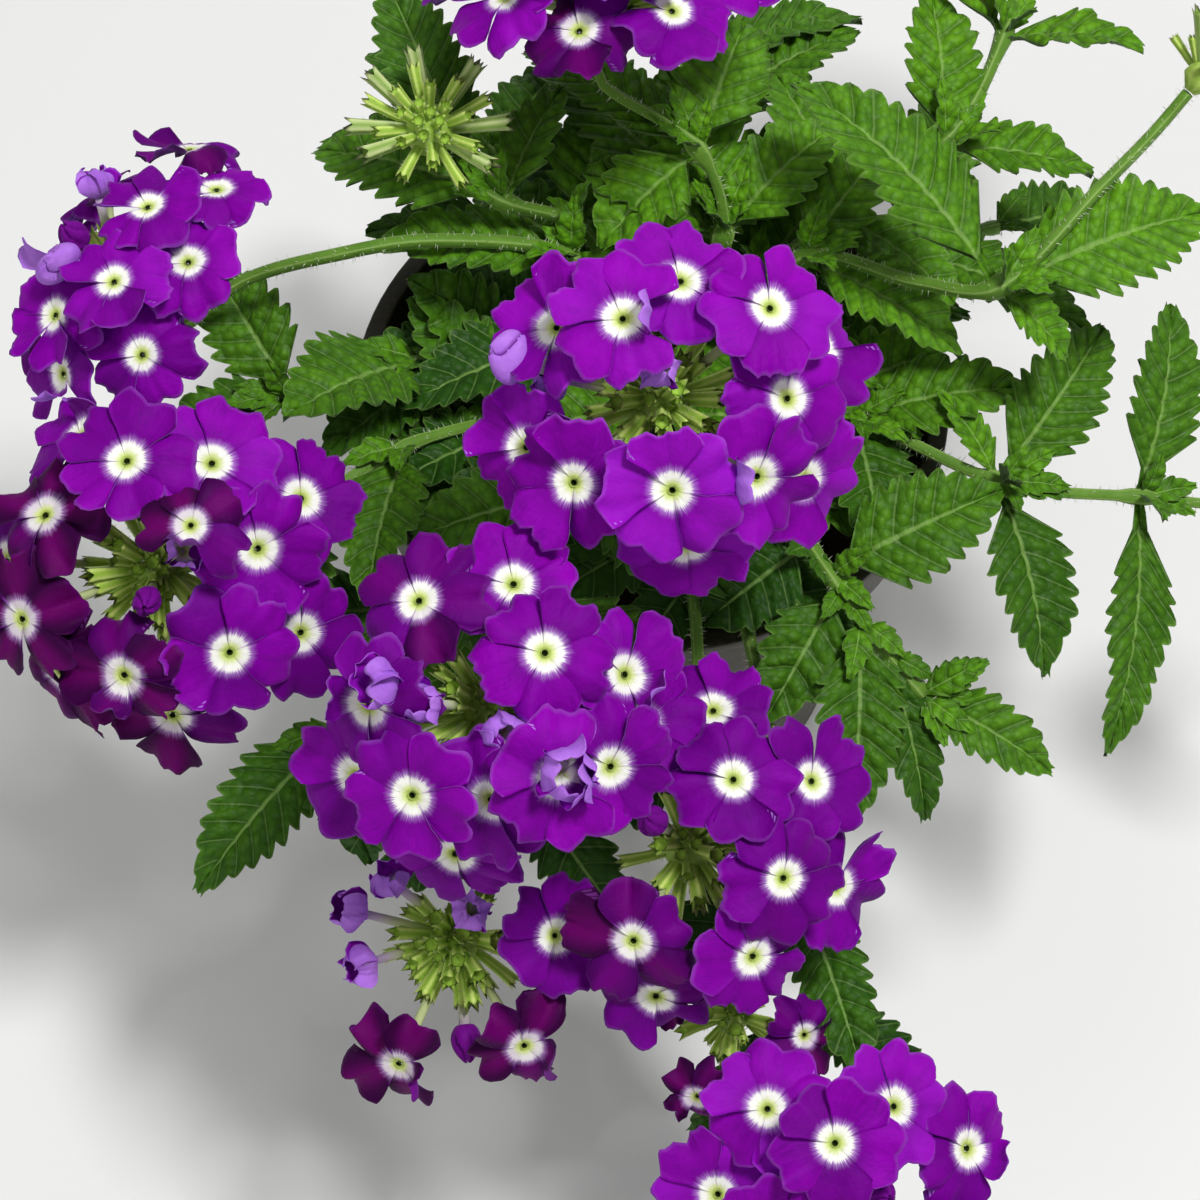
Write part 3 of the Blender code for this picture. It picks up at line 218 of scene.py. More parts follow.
# Each shoot: the bearing and ring of its hole in the peat, the points that its stem runs
# through, the head it carries, its chosen leaves as (place along the stem, tip, width) and its
# ruled leaf pairs as (place along the stem, length). Place 1 is the first listed point.
SHOOTS = {
    "shoot_crown": dict(
        hole=(-80, INNER_RING), head="head_crown",
        run=((1, -11, 98), (1, -22, 118)),
        leaves=((1.0, (-26, -24, 112), 15), (1.0, (27, -22, 111), 15)),
    ),
    "shoot_front": dict(
        hole=(-128, INNER_RING), head="head_front",
        run=((-7, -14, 98), (-12, -34, 110), (-19, -56, 116)),
        leaves=(
            (1.0, (-34, -30, 100), 15), (2.0, (-40, -40, 106), 14), (2.0, (12, -52, 108), 14),
            (3.0, (-46, -62, 112), 13), (3.0, (8, -74, 106), 12),
        ),
    ),
    "shoot_left": dict(
        hole=(-158, OUTER_RING), head="head_left",
        run=((-24, -10, 96), (-42, -20, 103), (-60, -34, 104)),
        leaves=(
            (2.0, (-46, -52, 100), 13), (1.0, (-40, -32, 98), 14), (3.0, (-56, -62, 96), 13),
            (3.0, (-86, -22, 98), 13), (0.4, (-46, -27, 100), 15),
        ),
    ),
    "shoot_left_high": dict(
        hole=(180, INNER_RING), head="head_left_high",
        run=((-9, 5, 100), (-14, 10, 116), (-36, 6, 126), (-53, 3, 126), (-69, 2, 120)),
        leaves=((2.0, (-48, 9, 120), 13), (2.0, (10, 0, 124), 11), (1.0, (-43, -12, 103), 16)),
    ),
    "shoot_green": dict(
        hole=(130, INNER_RING), head="head_green",
        run=((-6, 13, 102), (-13, 16, 117), (-26, 13, 128)),
        leaves=(
            (3.0, (-58, 28, 122), 17), (3.4, (-46, 52, 140), 13), (3.0, (-15, 34, 132), 9),
            (2.0, (-8, 40, 122), 13), (1.0, (-32, 30, 110), 15),
        ),
    ),
    "shoot_back": dict(
        hole=(80, INNER_RING), head="head_back",
        run=((5, 11, 100), (12, 15, 117), (7, 22, 131)),
        leaves=(
            (2.0, (-12, 20, 126), 15), (2.0, (32, 34, 122), 14), (1.0, (28, -6, 108), 14),
            (3.0, (16, 48, 132), 15), (3.0, (-20, 38, 132), 11), (1.0, (-14, 30, 112), 14),
        ),
    ),
    "shoot_back_right": dict(
        hole=(48, OUTER_RING), head="head_back_right",
        run=((18, 17, 98), (33, 22, 113), (50, 28, 124), (61, 48, 129)),
        leaves=(
            (3.0, (48, 56, 132), 13), (3.0, (76, 26, 118), 12), (4.0, (84, 42, 132), 11),
            (4.0, (44, 68, 136), 12), (2.0, (22, 50, 116), 15), (2.0, (52, 6, 108), 14),
            (1.0, (34, 36, 104), 14),
        ),
    ),
    "shoot_right_high": dict(
        hole=(10, INNER_RING), head="head_unopened",
        run=((14, 5, 100), (26, 10, 116), (44, -2, 125), (57, -6, 130), (73, 9, 136)),
        leaves=(
            (4.0, (23, 28, 140), 18), (4.0, (93, 12, 126), 18), (4.0, (68, -14, 120), 9),
            (2.0, (52, -8, 112), 13), (2.0, (40, 30, 120), 12), (1.0, (38, -10, 106), 14),
        ),
    ),
    "shoot_right": dict(
        hole=(-14, OUTER_RING),
        run=((22, -7, 95), (35, -13, 101), (59, -26, 101), (83, -27, 98), (104, -27, 94)),
        leaves=(
            (4.0, (89, 6, 108), 13), (4.0, (76, -67, 80), 11), (3.0, (66, -54, 84), 14),
            (3.0, (78, 4, 104), 14), (2.0, (64, -10, 106), 13), (2.0, (38, -40, 98), 14),
            (3.0, (48, -12, 108), 6), (5.0, (124, -16, 96), 10), (5.0, (122, -42, 88), 9),
            (0.4, (52, -8, 99), 15), (1.0, (51, 8, 98), 13),
        ),
    ),
    "shoot_right_front": dict(
        hole=(-42, OUTER_RING),
        run=((18, -24, 97), (26, -40, 103), (34, -53, 101), (44, -63, 94)),
        leaves=(
            (2.4, (58, -31, 107), 16), (2.6, (18, -67, 93), 13), (3.0, (32, -82, 86), 14),
            (3.4, (45, -79, 80), 9), (4.0, (66, -72, 84), 10), (4.0, (55, -58, 97), 5),
            (1.0, (46, -28, 97), 14),
        ),
    ),
    "shoot_front_low": dict(
        hole=(-80, OUTER_RING), head="head_front_low",
        run=((5, -32, 96), (7, -56, 98), (6, -74, 93)),
        leaves=(
            (1.0, (30, -42, 96), 13), (1.0, (-18, -46, 96), 13), (3.0, (26, -84, 94), 11),
            (3.0, (-14, -84, 90), 12), (0.4, (10, -50, 90), 15),
        ),
    ),
    "shoot_trailing": dict(
        hole=(-60, OUTER_RING), head="head_trailing",
        run=((12, -34, 94), (17, -58, 93), (21, -80, 85), (26, -102, 72)),
        fork=(3.0, "head_trailing_small"),
        leaves=(
            (3.3, (-6, -112, 74), 13), (3.6, (27, -124, 74), 11), (4.2, (6, -124, 54), 11),
            (4.2, (46, -116, 50), 11), (0.4, (26, -47, 91), 14),
        ),
    ),
    "shoot_fading": dict(
        hole=(-107, OUTER_RING), head="head_fading",
        run=((-7, -30, 94), (-13, -54, 94), (-21, -78, 87)),
        leaves=(
            (1.0, (-30, -42, 92), 13), (2.0, (-44, -62, 92), 13), (3.0, (-4, -98, 78), 12),
            (3.0, (-46, -90, 78), 12), (0.4, (-12, -49, 90), 14),
        ),
    ),
    "shoot_left_low": dict(
        hole=(-133, OUTER_RING),
        run=((-22, -26, 94), (-38, -48, 95), (-52, -67, 90)),
        leaves=(
            (3.0, (-75, -92, 80), 14), (3.0, (-47, -84, 74), 12), (2.0, (-62, -46, 90), 13),
            (0.4, (-42, -38, 96), 14),
        ),
    ),
    "shoot_left_back": dict(
        hole=(170, OUTER_RING),
        run=((-26, 3, 94), (-40, 0, 99), (-54, -6, 103), (-62, -11, 104)),
        leaves=(
            (2.0, (-58, -22, 108), 19), (1.0, (-42, 10, 110), 15), (4.0, (-76, 14, 108), 14),
            (4.0, (-84, -18, 100), 12), (0.4, (-52, 0, 100), 15),
        ),
    ),
    "shoot_back_low": dict(
        hole=(84, OUTER_RING),
        run=((2, 28, 97), (4, 44, 104), (7, 62, 104), (9, 76, 97)),
        leaves=((4.0, (14, 100, 86), 14),),
        pairs=((1.0, 40), (2.0, 40), (3.0, 34)),
    ),
    "shoot_right_low": dict(
        hole=(22, OUTER_RING),
        run=((27, 14, 96), (45, 22, 102), (62, 30, 98)),
        leaves=((3.0, (84, 40, 86), 14),),
        pairs=((1.0, 38), (2.0, 36)),
    ),
    "shoot_left_low_back": dict(
        hole=(128, OUTER_RING),
        run=((-18, 26, 96), (-28, 42, 103), (-38, 58, 98)),
        leaves=((3.0, (-50, 82, 86), 14),),
        pairs=((1.0, 36), (2.0, 34)),
    ),
}

# Leaves that close the crown over the pot, as (place along the stem, tip, width)
CROWN_LEAVES = {
    "shoot_left": ((1.0, (-42, 9, 106), 13),),
    "shoot_left_low": ((1.0, (-50, -11, 95), 16),),
    "shoot_left_high": ((0.5, (-37, 18, 100), 17),),
    "shoot_left_back": ((1.5, (-57, -17, 94), 15), (1.0, (-8, 24, 98), 13)),
    "shoot_front": ((1.0, (-37, -36, 99), 15),),
    "shoot_right_front": ((1.0, (44, -18, 99), 16), (2.0, (8, -51, 97), 15)),
    "shoot_right": ((1.5, (50, -1, 104), 15), (1.0, (30, 18, 100), 14)),
    "shoot_trailing": ((1.0, (-3, -55, 94), 14), (1.0, (34, -58, 92), 14)),
    "shoot_back": ((3.0, (-9, 8, 121), 15), (2.0, (-20, 45, 124), 16), (2.0, (2, 43, 127), 15)),
    "shoot_right_high": ((1.0, (4, -12, 108), 13),),
    "shoot_back_right": ((1.0, (2, 34, 108), 14),),
    "shoot_front_low": ((0.6, (-18, -40, 98), 14),),
}

# One more floret over a head, as its place, its age, its spin and its folded petal
LATE_FLORETS = {"head_left": ((24, 30, 27.5, -6, 0.86), 0.85, 40, 3)}

# Florets half open over a head, as (clock angle, angle off the axis, reach, radius)
HALF_OPEN_FLORETS = {
    "head_front": ((-28, 33, 28.5, 9.0), (160, 31, 25, 7.5)),
    "head_fading": ((150, 50, 20, 6.5),),
}

# Large lilac florets about to open, as (clock angle, angle off the axis, reach)
NODDING_FLORETS = {"head_crown": ((168, 56, 28),), "head_left_high": ((-75, 40, 22),)}

# Camera, from the photograph
CAMERA_RISE = 60.0
CAMERA_DISTANCE = 480.0
CAMERA_AIM = (-9.0, -54.0, 110.0)
PIXELS_PER_MM = 6.2
PHOTO_SIZE = 1200
SENSOR = 36.0

# Studio, in metres and watts, with each light's name, place, size and power
FLOOR_SIZE = 6.0
LIGHTS_AIM = (0.0, -0.03, 0.11)
AIR_STRENGTH = 0.3
SOFTBOXES = (
    ("key_softbox", (0.32, -0.12, 1.2), 0.26, 10.5),
    ("fill_softbox", (-0.8, -0.8, 0.8), 0.8, 2.6),
    ("back_softbox", (0.2, 1.1, 0.9), 0.7, 2.0),
)

# Petals: lengths and widths are shares of the floret's radius, and the thickness, tilt, ruffle,
# lift and cup are in millimetres
PETAL_FROM = 0.05
PETAL_JOINED = 0.4
PETAL_SPREAD = 0.8
PETAL_WIDE = (0.49, 0.6)
PETAL_NOTCH = (0.04, 0.15)
PETAL_LOBE = 0.975
PETAL_SHOULDER = 0.31
PETAL_THICK = 0.24
PETAL_ACROSS = 16
PETAL_ALONG = 9
PETAL_TILT = (0.6, 1.6)
PETAL_RUFFLE = (0.4, 1.0)
PETAL_LIFT = (-2.7, 2.3)
PETAL_CUP = (-1.5, 1.2)
PETAL_SHADE = 0.18
PETAL_RIPPLES = (11, 17)
# Share of the lilac underside shown along a petal's rim, as a painted highlight
PETAL_RIM_HIGHLIGHT = 0.25
FRILLED = 0.4
FRILLS = (0.03, 0.008)
PETAL_HINGE = 0.26
PETAL_CURL = 3.5
FOLD_HINGE = 0.13
FOLD_NARROWS = 0.6
FOLD_FLATTENS = 0.3
FOLD_FRILL = 0.004
OLD_AGE = 0.6
OLD_CURL = (-0.7, 0.5)
OPENING_RADIUS = 6.6
OPENING_CURL = (2.9, 3.8)
AGE_CHANGE = (-0.06, 0.2)
THROAT = ((0.06, -0.6, 0.06), (0.038, -0.85, 0.038), (0.03, -1.6, 0.0))
THROAT_SIDES = 10

# Tubes and buds: radii along each tube, and the shades that make a bud dark or lilac
OPEN_TUBE = (0.75, 0.75, 0.8, 0.7)
BUD_TUBE = (0.7, 0.8, 1.0)
OPENING_TUBE = (0.7, 0.8, 0.7)
NODDING_TUBE = (1.0, 1.15, 1.25, 1.0)
TUBE_FROM = 11
BUD_TUBE_FROM = 4
BUD_SIDES = 40
BUD_STOPS = 14
BUDS_OPENING = 0.65
NODDING_SIZE = (6.0, 4.4, 2.6)
DARK_BUD = 1.2
LILAC_BUD = 2.0

# Leaves: a tooth is rows of (part of a vein's step, reach, width, rise)
BLADE_THICK = 0.4
BLADE_FROM = 0.10
BLADE_VEINS_TO = 0.88
BLADE_WAVE = (0.3, 0.8)
BLADE_RIPPLES = 17
VEIN_SLANT = 0.19
VEIN_DEPTH = 0.46
MM_PER_TOOTH = 4.7
TOOTH = (
    (0.0, 0.02, 1.06, -1.0), (0.14, 0.12, 1.0, -0.2), (0.26, 0.14, 0.81, 0.5),
    (0.5, 0.42, 0.92, 1.0), (0.78, 0.74, 1.03, 0.4),
)
BLADE_WIDER = 1.12
MOST_TEETH = 9
LEAST_TEETH = 5
PETIOLE_WIDE = 0.9
ACROSS_SHARES = (0.0, 0.09, 0.27, 0.5, 0.73, 0.9, 1.0)
AXIL_LEAF = (7.0, 12.0)
AXIL_TEETH = 3
AXIL_WIDTH = 0.42

# Stems, calyces and hairs: the calyx's profile is (share of its length, share of its width)
STEM_FINE_STEP = 2.5
STEM_FINE_SIDES = 12
STEM_RIDGE = 0.11
STEM_HAIRS_PER_MM = 3.0
STEM_HAIR = (0.8, 1.4)
JOINT_SWELL = 0.45
JOINT_LONG = 1.8
CORE_SIDES = 16
CORE_SLIMMER = 0.85
CALYX_HAIRS = 14
CALYX_HAIR = (0.5, 0.9)
HAIR_ROOT = 0.08
CALYX_SIDES = 10
CALYX_RIB = 0.11
CALYX_PROFILE = ((0.0, 0.5), (0.12, 0.72), (0.3, 0.8), (0.5, 0.84), (0.7, 0.92), (0.86, 1.0))
CALYX_FROM = 3.2
CALYX_WIDE = 1.25
FLORET_CALYX = 9.5
BUD_CALYX = 8.5
EXTRA_CALYCES = 16
BARE_SHADE = 1.4

# Pot and peat: the lumps are (height, how often), and the crumbs' sizes are dark, then pale
POT_SIDES = 96
POT_GATE = 0.5
POT_ROUNDING = 0.5
DRAIN_SIDES = 32
SHARP_ANGLE = 40
PEAT_SEED = 11
PEAT_SIDES = 96
PEAT_RINGS = 36
PEAT_LUMPS = ((1.1, 0.12), (0.7, 0.4), (0.35, 1.1))
PEAT_CRUMBS = 900
PALE_CRUMBS = 0.06
CRUMB_SIZES = ((0.4, 1.5), (0.8, 1.7))


# Small tools for points and meshes


def polar(bearing, height=0.0):
    """The unit vector at a bearing, raised by an angle."""
    flat = math.cos(math.radians(height))
    turn = math.radians(bearing)
    return Vector((flat * math.cos(turn), flat * math.sin(turn), math.sin(math.radians(height))))


def swung(first, second, turn):
    """The direction at an angle from one direction towards another."""
    return first * math.cos(turn) + second * math.sin(turn)


def round_ways(first, second, count):
    """Directions round a circle, as (number, angle, direction)."""
    for number in range(count):
        turn = 2 * math.pi * number / count
        yield number, turn, swung(first, second, turn)


def square_ways(way):
    """Two directions square to a direction and to each other."""
    across = way.orthogonal().normalized()
    return across, way.cross(across)


def smooth(low, high, value):
    """0 below low, 1 above high, and a soft step between."""
    share = min(1.0, max(0.0, (value - low) / (high - low)))
    return share * share * (3 - 2 * share)


class Skin:
    """Points and faces of one piece, with the marks that its material reads at each point.

    A mark is three numbers: a place along, a place across, and a shade for the whole leaf,
    floret or calyx. A side of 1 is the underside.
    """

    def __init__(self):
        self.points, self.faces, self.marks, self.sides = [], [], [], []

    def point(self, place, mark, side=0.0):
        self.points.append(place)
        self.marks.append(mark)
        self.sides.append(side)
        return len(self.points) - 1

    def grid(self, rows, closed=False):
        """Faces between rows of point numbers, each row the same length."""
        for row, after in zip(rows, rows[1:]):
            count = len(row)
            for n in range(count if closed else count - 1):
                m = (n + 1) % count
                self.faces.append((row[n], row[m], after[m], after[n]))

    def shell(self, rows):
        """A closed skin through rings of point numbers, with a face at each end."""
        self.grid(rows, closed=True)
        self.faces.append(tuple(reversed(rows[0])))
        self.faces.append(tuple(rows[-1]))

    def piece(self, name, finish):
        """The piece as an object with its marks, its material and smooth faces."""
        mesh = bpy.data.meshes.new(name)
        mesh.from_pydata([Vector(p) * MM for p in self.points], [], self.faces)
        marks = mesh.attributes.new("mark", "FLOAT_VECTOR", "POINT")
        marks.data.foreach_set("vector", [n for mark in self.marks for n in mark])
        sides = mesh.attributes.new("side", "FLOAT", "POINT")
        sides.data.foreach_set("value", self.sides)
        mesh.materials.append(finish)
        mesh.shade_smooth()
        thing = bpy.data.objects.new(name, mesh)
        bpy.context.scene.collection.objects.link(thing)
        return thing


def place_piece(piece, node=None):
    """Lets a piece ride on the plant's one body, and stand for a node of the solids."""
    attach(piece, "root")
    if node:
        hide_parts(node)


def add_hair(skin, root, way, length, shade):
    """A fine three-sided hair."""
    mark = (0.5, 0.0, shade)
    side = way.orthogonal().normalized() * HAIR_ROOT
    turns = [Matrix.Rotation(math.radians(turn), 3, way) for turn in (0, 120, 240)]
    ring = [skin.point(root + turn @ side, mark, 1.0) for turn in turns]
    tip = skin.point(root + way * length, mark, 1.0)
    for n in range(3):
        skin.faces.append((ring[n], ring[(n + 1) % 3], tip))


# Where the solids are: the same rules as the part's, and the try that the solids took


def node_points(node):
    """A search tree of the corners of a node's solid, in millimetres."""
    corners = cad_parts[node].data.vertices
    tree = kdtree.KDTree(len(corners))
    for number, corner in enumerate(corners):
        tree.insert(corner.co / MM, number)
    tree.balance()
    return tree


def corners_found(tree, places):
    return sum(tree.find(place)[2] < MATCH for place in places)


def ring_found(tree, centre, radius):
    """How many corners of the solid lie on a small ring round a point."""
    near = tree.find_range(centre, radius + MATCH)
    return sum(abs(gap - radius) < MATCH for _, _, gap in near)


def head_middle(name):
    return Vector(HEADS[name]["at"])


def head_frame(name):
    """A head's right, top and axis directions."""
    axis = polar(*HEADS[name]["faces"])
    right = (Vector((1, 0, 0)) - axis * axis.x).normalized()
    return right, axis.cross(right), axis


def from_axis(name, clock, off):
    """The direction at a clock angle round a head's axis and an angle off it."""
    right, top, axis = head_frame(name)
    lean = math.radians(off)
    return swung(right, top, math.radians(clock)) * math.sin(lean) + axis * math.cos(lean)


def core_scale(name):
    size = HEADS[name]["size"]
    return size if size < SMALL_HEAD else 1.0


def stem_end(name):
    centre, axis = head_middle(name), head_frame(name)[2]
    return [centre - axis * PEDUNCLE_RUN, centre - axis * (CORE_BELOW * core_scale(name) + SEAT)]


def stem_points(shoot):
    """A shoot's route: down in its hole, up out of it, along its points and to its head."""
    bearing, ring = shoot["hole"]
    hole = polar(bearing) * ring
    hole.z = PEAT_TOP
    foot = hole - Vector((0, 0, HOLE_DEPTH - SEAT))
    above = hole + Vector((0, 0, NECK_ABOVE_PEAT))
    points = [foot, above] + [Vector(p) for p in shoot["run"]]
    return points + (stem_end(shoot["head"]) if "head" in shoot else [])


def curve_span(points, span, steps):
    """Points of the smooth curve through points, from one of them to the next."""
    last = len(points) - 1
    before, here = points[max(span - 1, 0)], points[span]
    there, after = points[span + 1], points[min(span + 2, last)]
    first_handle = here + (there - before) / 6
    second_handle = there - (after - here) / 6
    return interpolate_bezier(here, first_handle, second_handle, there, steps + 1)


def curve_through(points, step):
    path = []
    for span in range(len(points) - 1):
        steps = max(1, round((points[span + 1] - points[span]).length / step))
        path.extend(curve_span(points, span, steps)[:-1])
    return path + [points[-1]]


def along(points, place):
    """Point and direction on the curve through points, at a place counted in points."""
    marks = 20
    span = min(int(place), len(points) - 2)
    run = curve_span(points, span, marks)
    mark = round((place - span) * marks)
    step = min(mark, marks - 1)
    return run[mark], (run[step + 1] - run[step]).normalized()


def leaf_base(points, place):
    base, ahead = along(points, place + 1)
    return base - ahead * STEM_TIP_RADIUS, ahead


def leaf_frame(base, tip):
    """A leaf's directions: along it, across it, and the way its upper face looks."""
    ahead = (tip - base).normalized()
    facing = Vector((base.x * LEAF_OUTWARD, base.y * LEAF_OUTWARD, 1.0))
    across = ahead.cross(facing)
    if across.length < 0.05:
        across = ahead.cross(Vector((-base.y, base.x, 0.0)).cross(ahead))
    across.normalize()
    return ahead, across, across.cross(ahead)


def bent(base, tip, attempt):
    turn, lift, share = attempt
    _, across, _ = leaf_frame(base, tip)
    way = (tip - base) * share
    way = Matrix.Rotation(math.radians(lift), 3, across) @ way
    return base + Matrix.Rotation(math.radians(turn), 3, "Z") @ way


def listed_leaves(leaves, points):
    """Leaves given by place, tip and width, as (base, tip, width, stem's direction)."""
    listed = []
    for place, tip, width in leaves:
        base, ahead = leaf_base(points, place)
        listed.append((base, Vector(tip), width, ahead))
    return listed


def wished_leaves(name, shoot, points):
    """Each leaf of a shoot as (base, tip, width, stem's direction), before it is bent clear."""
    rand = random.Random(f"{name}{LEAF_SEED}")
    leaves = listed_leaves(shoot["leaves"], points)
    for place, length in shoot.get("pairs", ()):
        base, ahead = leaf_base(points, place)
        for way in (-1, 1):
            spread = PAIR_SPREAD + rand.uniform(-PAIR_SPREAD_CHANGE, PAIR_SPREAD_CHANGE)
            level = Vector((ahead.x, ahead.y, 0)).normalized()
            out = Matrix.Rotation(math.radians(way * spread), 3, "Z") @ level
            long = length * rand.uniform(*PAIR_LENGTHS)
            out.z = rand.uniform(*PAIR_RISES)
            leaves.append((base, base + out.normalized() * long, long * PAIR_WIDTH, ahead))
    return leaves


def leaf_place(base, tip, share, side, level):
    """A point of a blade: the solid's arch along the leaf and fold across it."""
    ahead, across, facing = leaf_frame(base, tip)
    length = (tip - base).length
    height = length * LEAF_ARCH * 4 * share * (1 - share) + abs(side) * LEAF_FOLD * share
    return base + ahead * (share * length) + across * side + facing * (height + level)


def leaf_corners(base, tip, width):
    """The tip and the tooth tips of a leaf's solid."""
    root = base + (tip - base).normalized() * ROOT_START
    teeth = SMALL_TEETH if (tip - root).length < SMALL_LEAF else BROAD_TEETH
    corners = [leaf_place(root, tip, 1, 0, way * LEAF_THICK / 2) for way in (1, -1)]
    for share, wide in teeth:
        for side in (1, -1):
            corners.append(leaf_place(root, tip, share, side * width / 2 * wide, LEAF_THICK / 2))
    return corners


def leaves_of(name, points):
    """The leaves of a shoot's solid, each found by its corners."""
    tree = node_points(name)
    leaves = []
    for base, tip, width, ahead in wished_leaves(name, SHOOTS[name], points):
        best = (1, None)
        for attempt in LEAF_TRIES:
            end, wide = bent(base, tip, attempt), width * attempt[2]
            count = corners_found(tree, leaf_corners(base, end, wide))
            if count > best[0]:
                best = (count, (base, end, wide, ahead))
        if best[1]:
            leaves.append(best[1])
    return leaves


def floret_frame(name, place):
    """A floret's middle, its right, top and facing directions, and its radius."""
    clock, off, reach, roll, size = place
    head_right, _, axis = head_frame(name)
    out = from_axis(name, clock, off)
    facing = (out * FLORET_LEAN + axis * (1 - FLORET_LEAN)).normalized()
    facing = Matrix.Rotation(math.radians(roll), 3, from_axis(name, clock, 90)) @ facing
    right = (head_right - facing * head_right.dot(facing)).normalized()
    middle = head_middle(name) + out * reach
    return middle, right, facing.cross(right), facing, FLORET_RADIUS * size


def floret_tries():
    def effort(move):
        lean, shift, roll, shrink = move
        return abs(lean) / 6 + abs(shift) / 1.5 + abs(roll) / 9 + 40 * (1 - shrink)

    moves = itertools.product(FLORET_LEANS, FLORET_SHIFTS, FLORET_ROLLS, FLORET_SHRINKS)
    return sorted(moves, key=effort)


def floret_corners(name, place, spin):
    """The lobe tips and notches of a floret's solid."""
    middle, right, top, facing, radius = floret_frame(name, place)
    corners = []
    for petal, large in enumerate(PETAL_SIZES):
        mid = spin + 360 / PETALS * petal
        for share, turn, height in ((0.96, -LOBE_HALF_ANGLE, 0.3), (0.84, 0, 0.6),
                                    (0.96, LOBE_HALF_ANGLE, 0.3)):
            flat = swung(right, top, math.radians(mid + turn))
            corners.append(middle + flat * (radius * share * large) + facing * height)
    return corners


def florets_of(name, tree):
    """The florets of a head's solid as (number, place, spin), each found by its corners."""
    head = HEADS[name]
    tries = floret_tries()
    florets = []
    for number, (clock, off, reach) in enumerate(head["florets"]):
        spin = GOLDEN_ANGLE * number
        best = (2, None)
        for lean, shift, roll, shrink in tries:
            place = (clock, off + lean, reach + shift, roll, head["size"] * shrink)
            count = corners_found(tree, floret_corners(name, place, spin))
            if count > best[0]:
                best = (count, place)
            if count > 9:
                break
        if best[1]:
            florets.append((number, best[1], spin))
    return florets


def calyx_places(name):
    """Bare calyces in the middle of a head, spread by the golden angle, or in a named ring."""
    head = HEADS[name]
    if head["ring"]:
        return [(clock, off, CALYX_LENGTH * head["size"]) for clock, off in head["ring"]]
    count = head["calyces"]
    least, spread = MIDDLE_SPREAD
    length = CALYX_LENGTH * MIDDLE_CALYX * head["size"]
    return [
        (GOLDEN_ANGLE * index, least + spread * (index + 0.5) / count, length)
        for index in range(count)
    ]


def spokes_of(name, tree, spots, end_of, radius):
    """The buds or calyces of a head's solid, each turned as the solid's is."""
    spokes = []
    for spot in spots:
        for turn in CALYX_TURNS:
            clock = spot[0] + turn
            end = head_middle(name) + from_axis(name, clock, spot[1]) * end_of(spot)
            if ring_found(tree, end, radius) > 2:
                spokes.append((clock, *spot[1:]))
                break
    return spokes


# Leaves and stems


def blade_envelope(share):
    """Half width of a blade without its teeth, as a share of its widest."""
    if share <= BLADE_FROM:
        return 0.0
    run = (share - BLADE_FROM) / (1 - BLADE_FROM)
    return math.sin(math.pi * run ** 0.76) ** 0.68


def blade_rows(half, teeth, rand):
    """Rows across a blade as (vein number, share at the midrib, share at the edge, half width,
    rise between veins). A vein runs to the tip of each tooth."""
    petiole = min(PETIOLE_WIDE, half * 0.2)
    rows = [(-1.0, 0.0, 0.0, petiole, 0.0), (-0.5, 0.06, 0.06, petiole, 0.0)]
    rows.append((-0.1, BLADE_FROM, BLADE_FROM + 0.03, petiole * 1.3, 0.0))
    step = (BLADE_VEINS_TO - BLADE_FROM) / teeth
    for tooth in range(teeth):
        midrib = BLADE_FROM + step * (tooth + 0.3 + rand.uniform(-0.1, 0.1))
        slant = VEIN_SLANT * (1 - 0.45 * tooth / teeth)
        large = rand.uniform(0.96, 1.04)
        for part, far, wide, rise in TOOTH:
            edge = midrib + slant + step * far
            width = half * blade_envelope(min(edge, 0.99)) * wide * large
            rows.append((tooth + part, midrib + step * part, edge, max(width, petiole), rise))
    rows.append((teeth + 0.2, 0.955, 0.985, half * 0.09, 0.2))
    rows.append((teeth + 0.5, 1.0, 1.0, 0.02, 0.0))
    return rows


def add_leaf(skin, base, tip, width, shade, rand, teeth=None):
    """A quilted, toothed blade: veins pressed in above, with a thin underside."""
    length, half = (tip - base).length, width / 2 * BLADE_WIDER
    if teeth is None:
        teeth = max(LEAST_TEETH, min(MOST_TEETH, round(length / MM_PER_TOOTH)))
    rows = blade_rows(half, teeth, rand)
    depth = VEIN_DEPTH * min(1.0, half / 6)
    wave, phase = rand.uniform(*BLADE_WAVE) * min(1.0, half / 6), rand.uniform(0, 6.3)
    layers = []
    for under in (0, 1):
        numbers = []
        for vein, midrib, edge, wide, rise in rows:
            row = []
            for side in (-1, 1):
                for across in ACROSS_SHARES if side > 0 else ACROSS_SHARES[:0:-1]:
                    share = midrib + (edge - midrib) * across ** 1.2
                    ridge = rise * depth * math.sin(math.pi * min(1.0, 0.12 + across * 0.8))
                    groove = -depth * 1.3 * (1 - smooth(0.0, 0.2, across))
                    ripple = wave * across ** 2 * math.sin(share * BLADE_RIPPLES + phase + side)
                    level = ridge + groove + ripple - under * BLADE_THICK * (1 - 0.7 * across)
                    spot = leaf_place(base, tip, share, side * wide * across, level)
                    row.append(skin.point(spot, (vein, side * across, shade), under))
            numbers.append(row)
        layers.append(numbers)
    top, bottom = layers
    skin.grid([row[::-1] for row in top])
    skin.grid(bottom)
    first = [[row[0] for row in layer] for layer in (top, bottom)]
    last = [[row[-1] for row in layer] for layer in (bottom, top)]
    for edge in (first, last, (top[-1], bottom[-1])):
        skin.grid(edge)


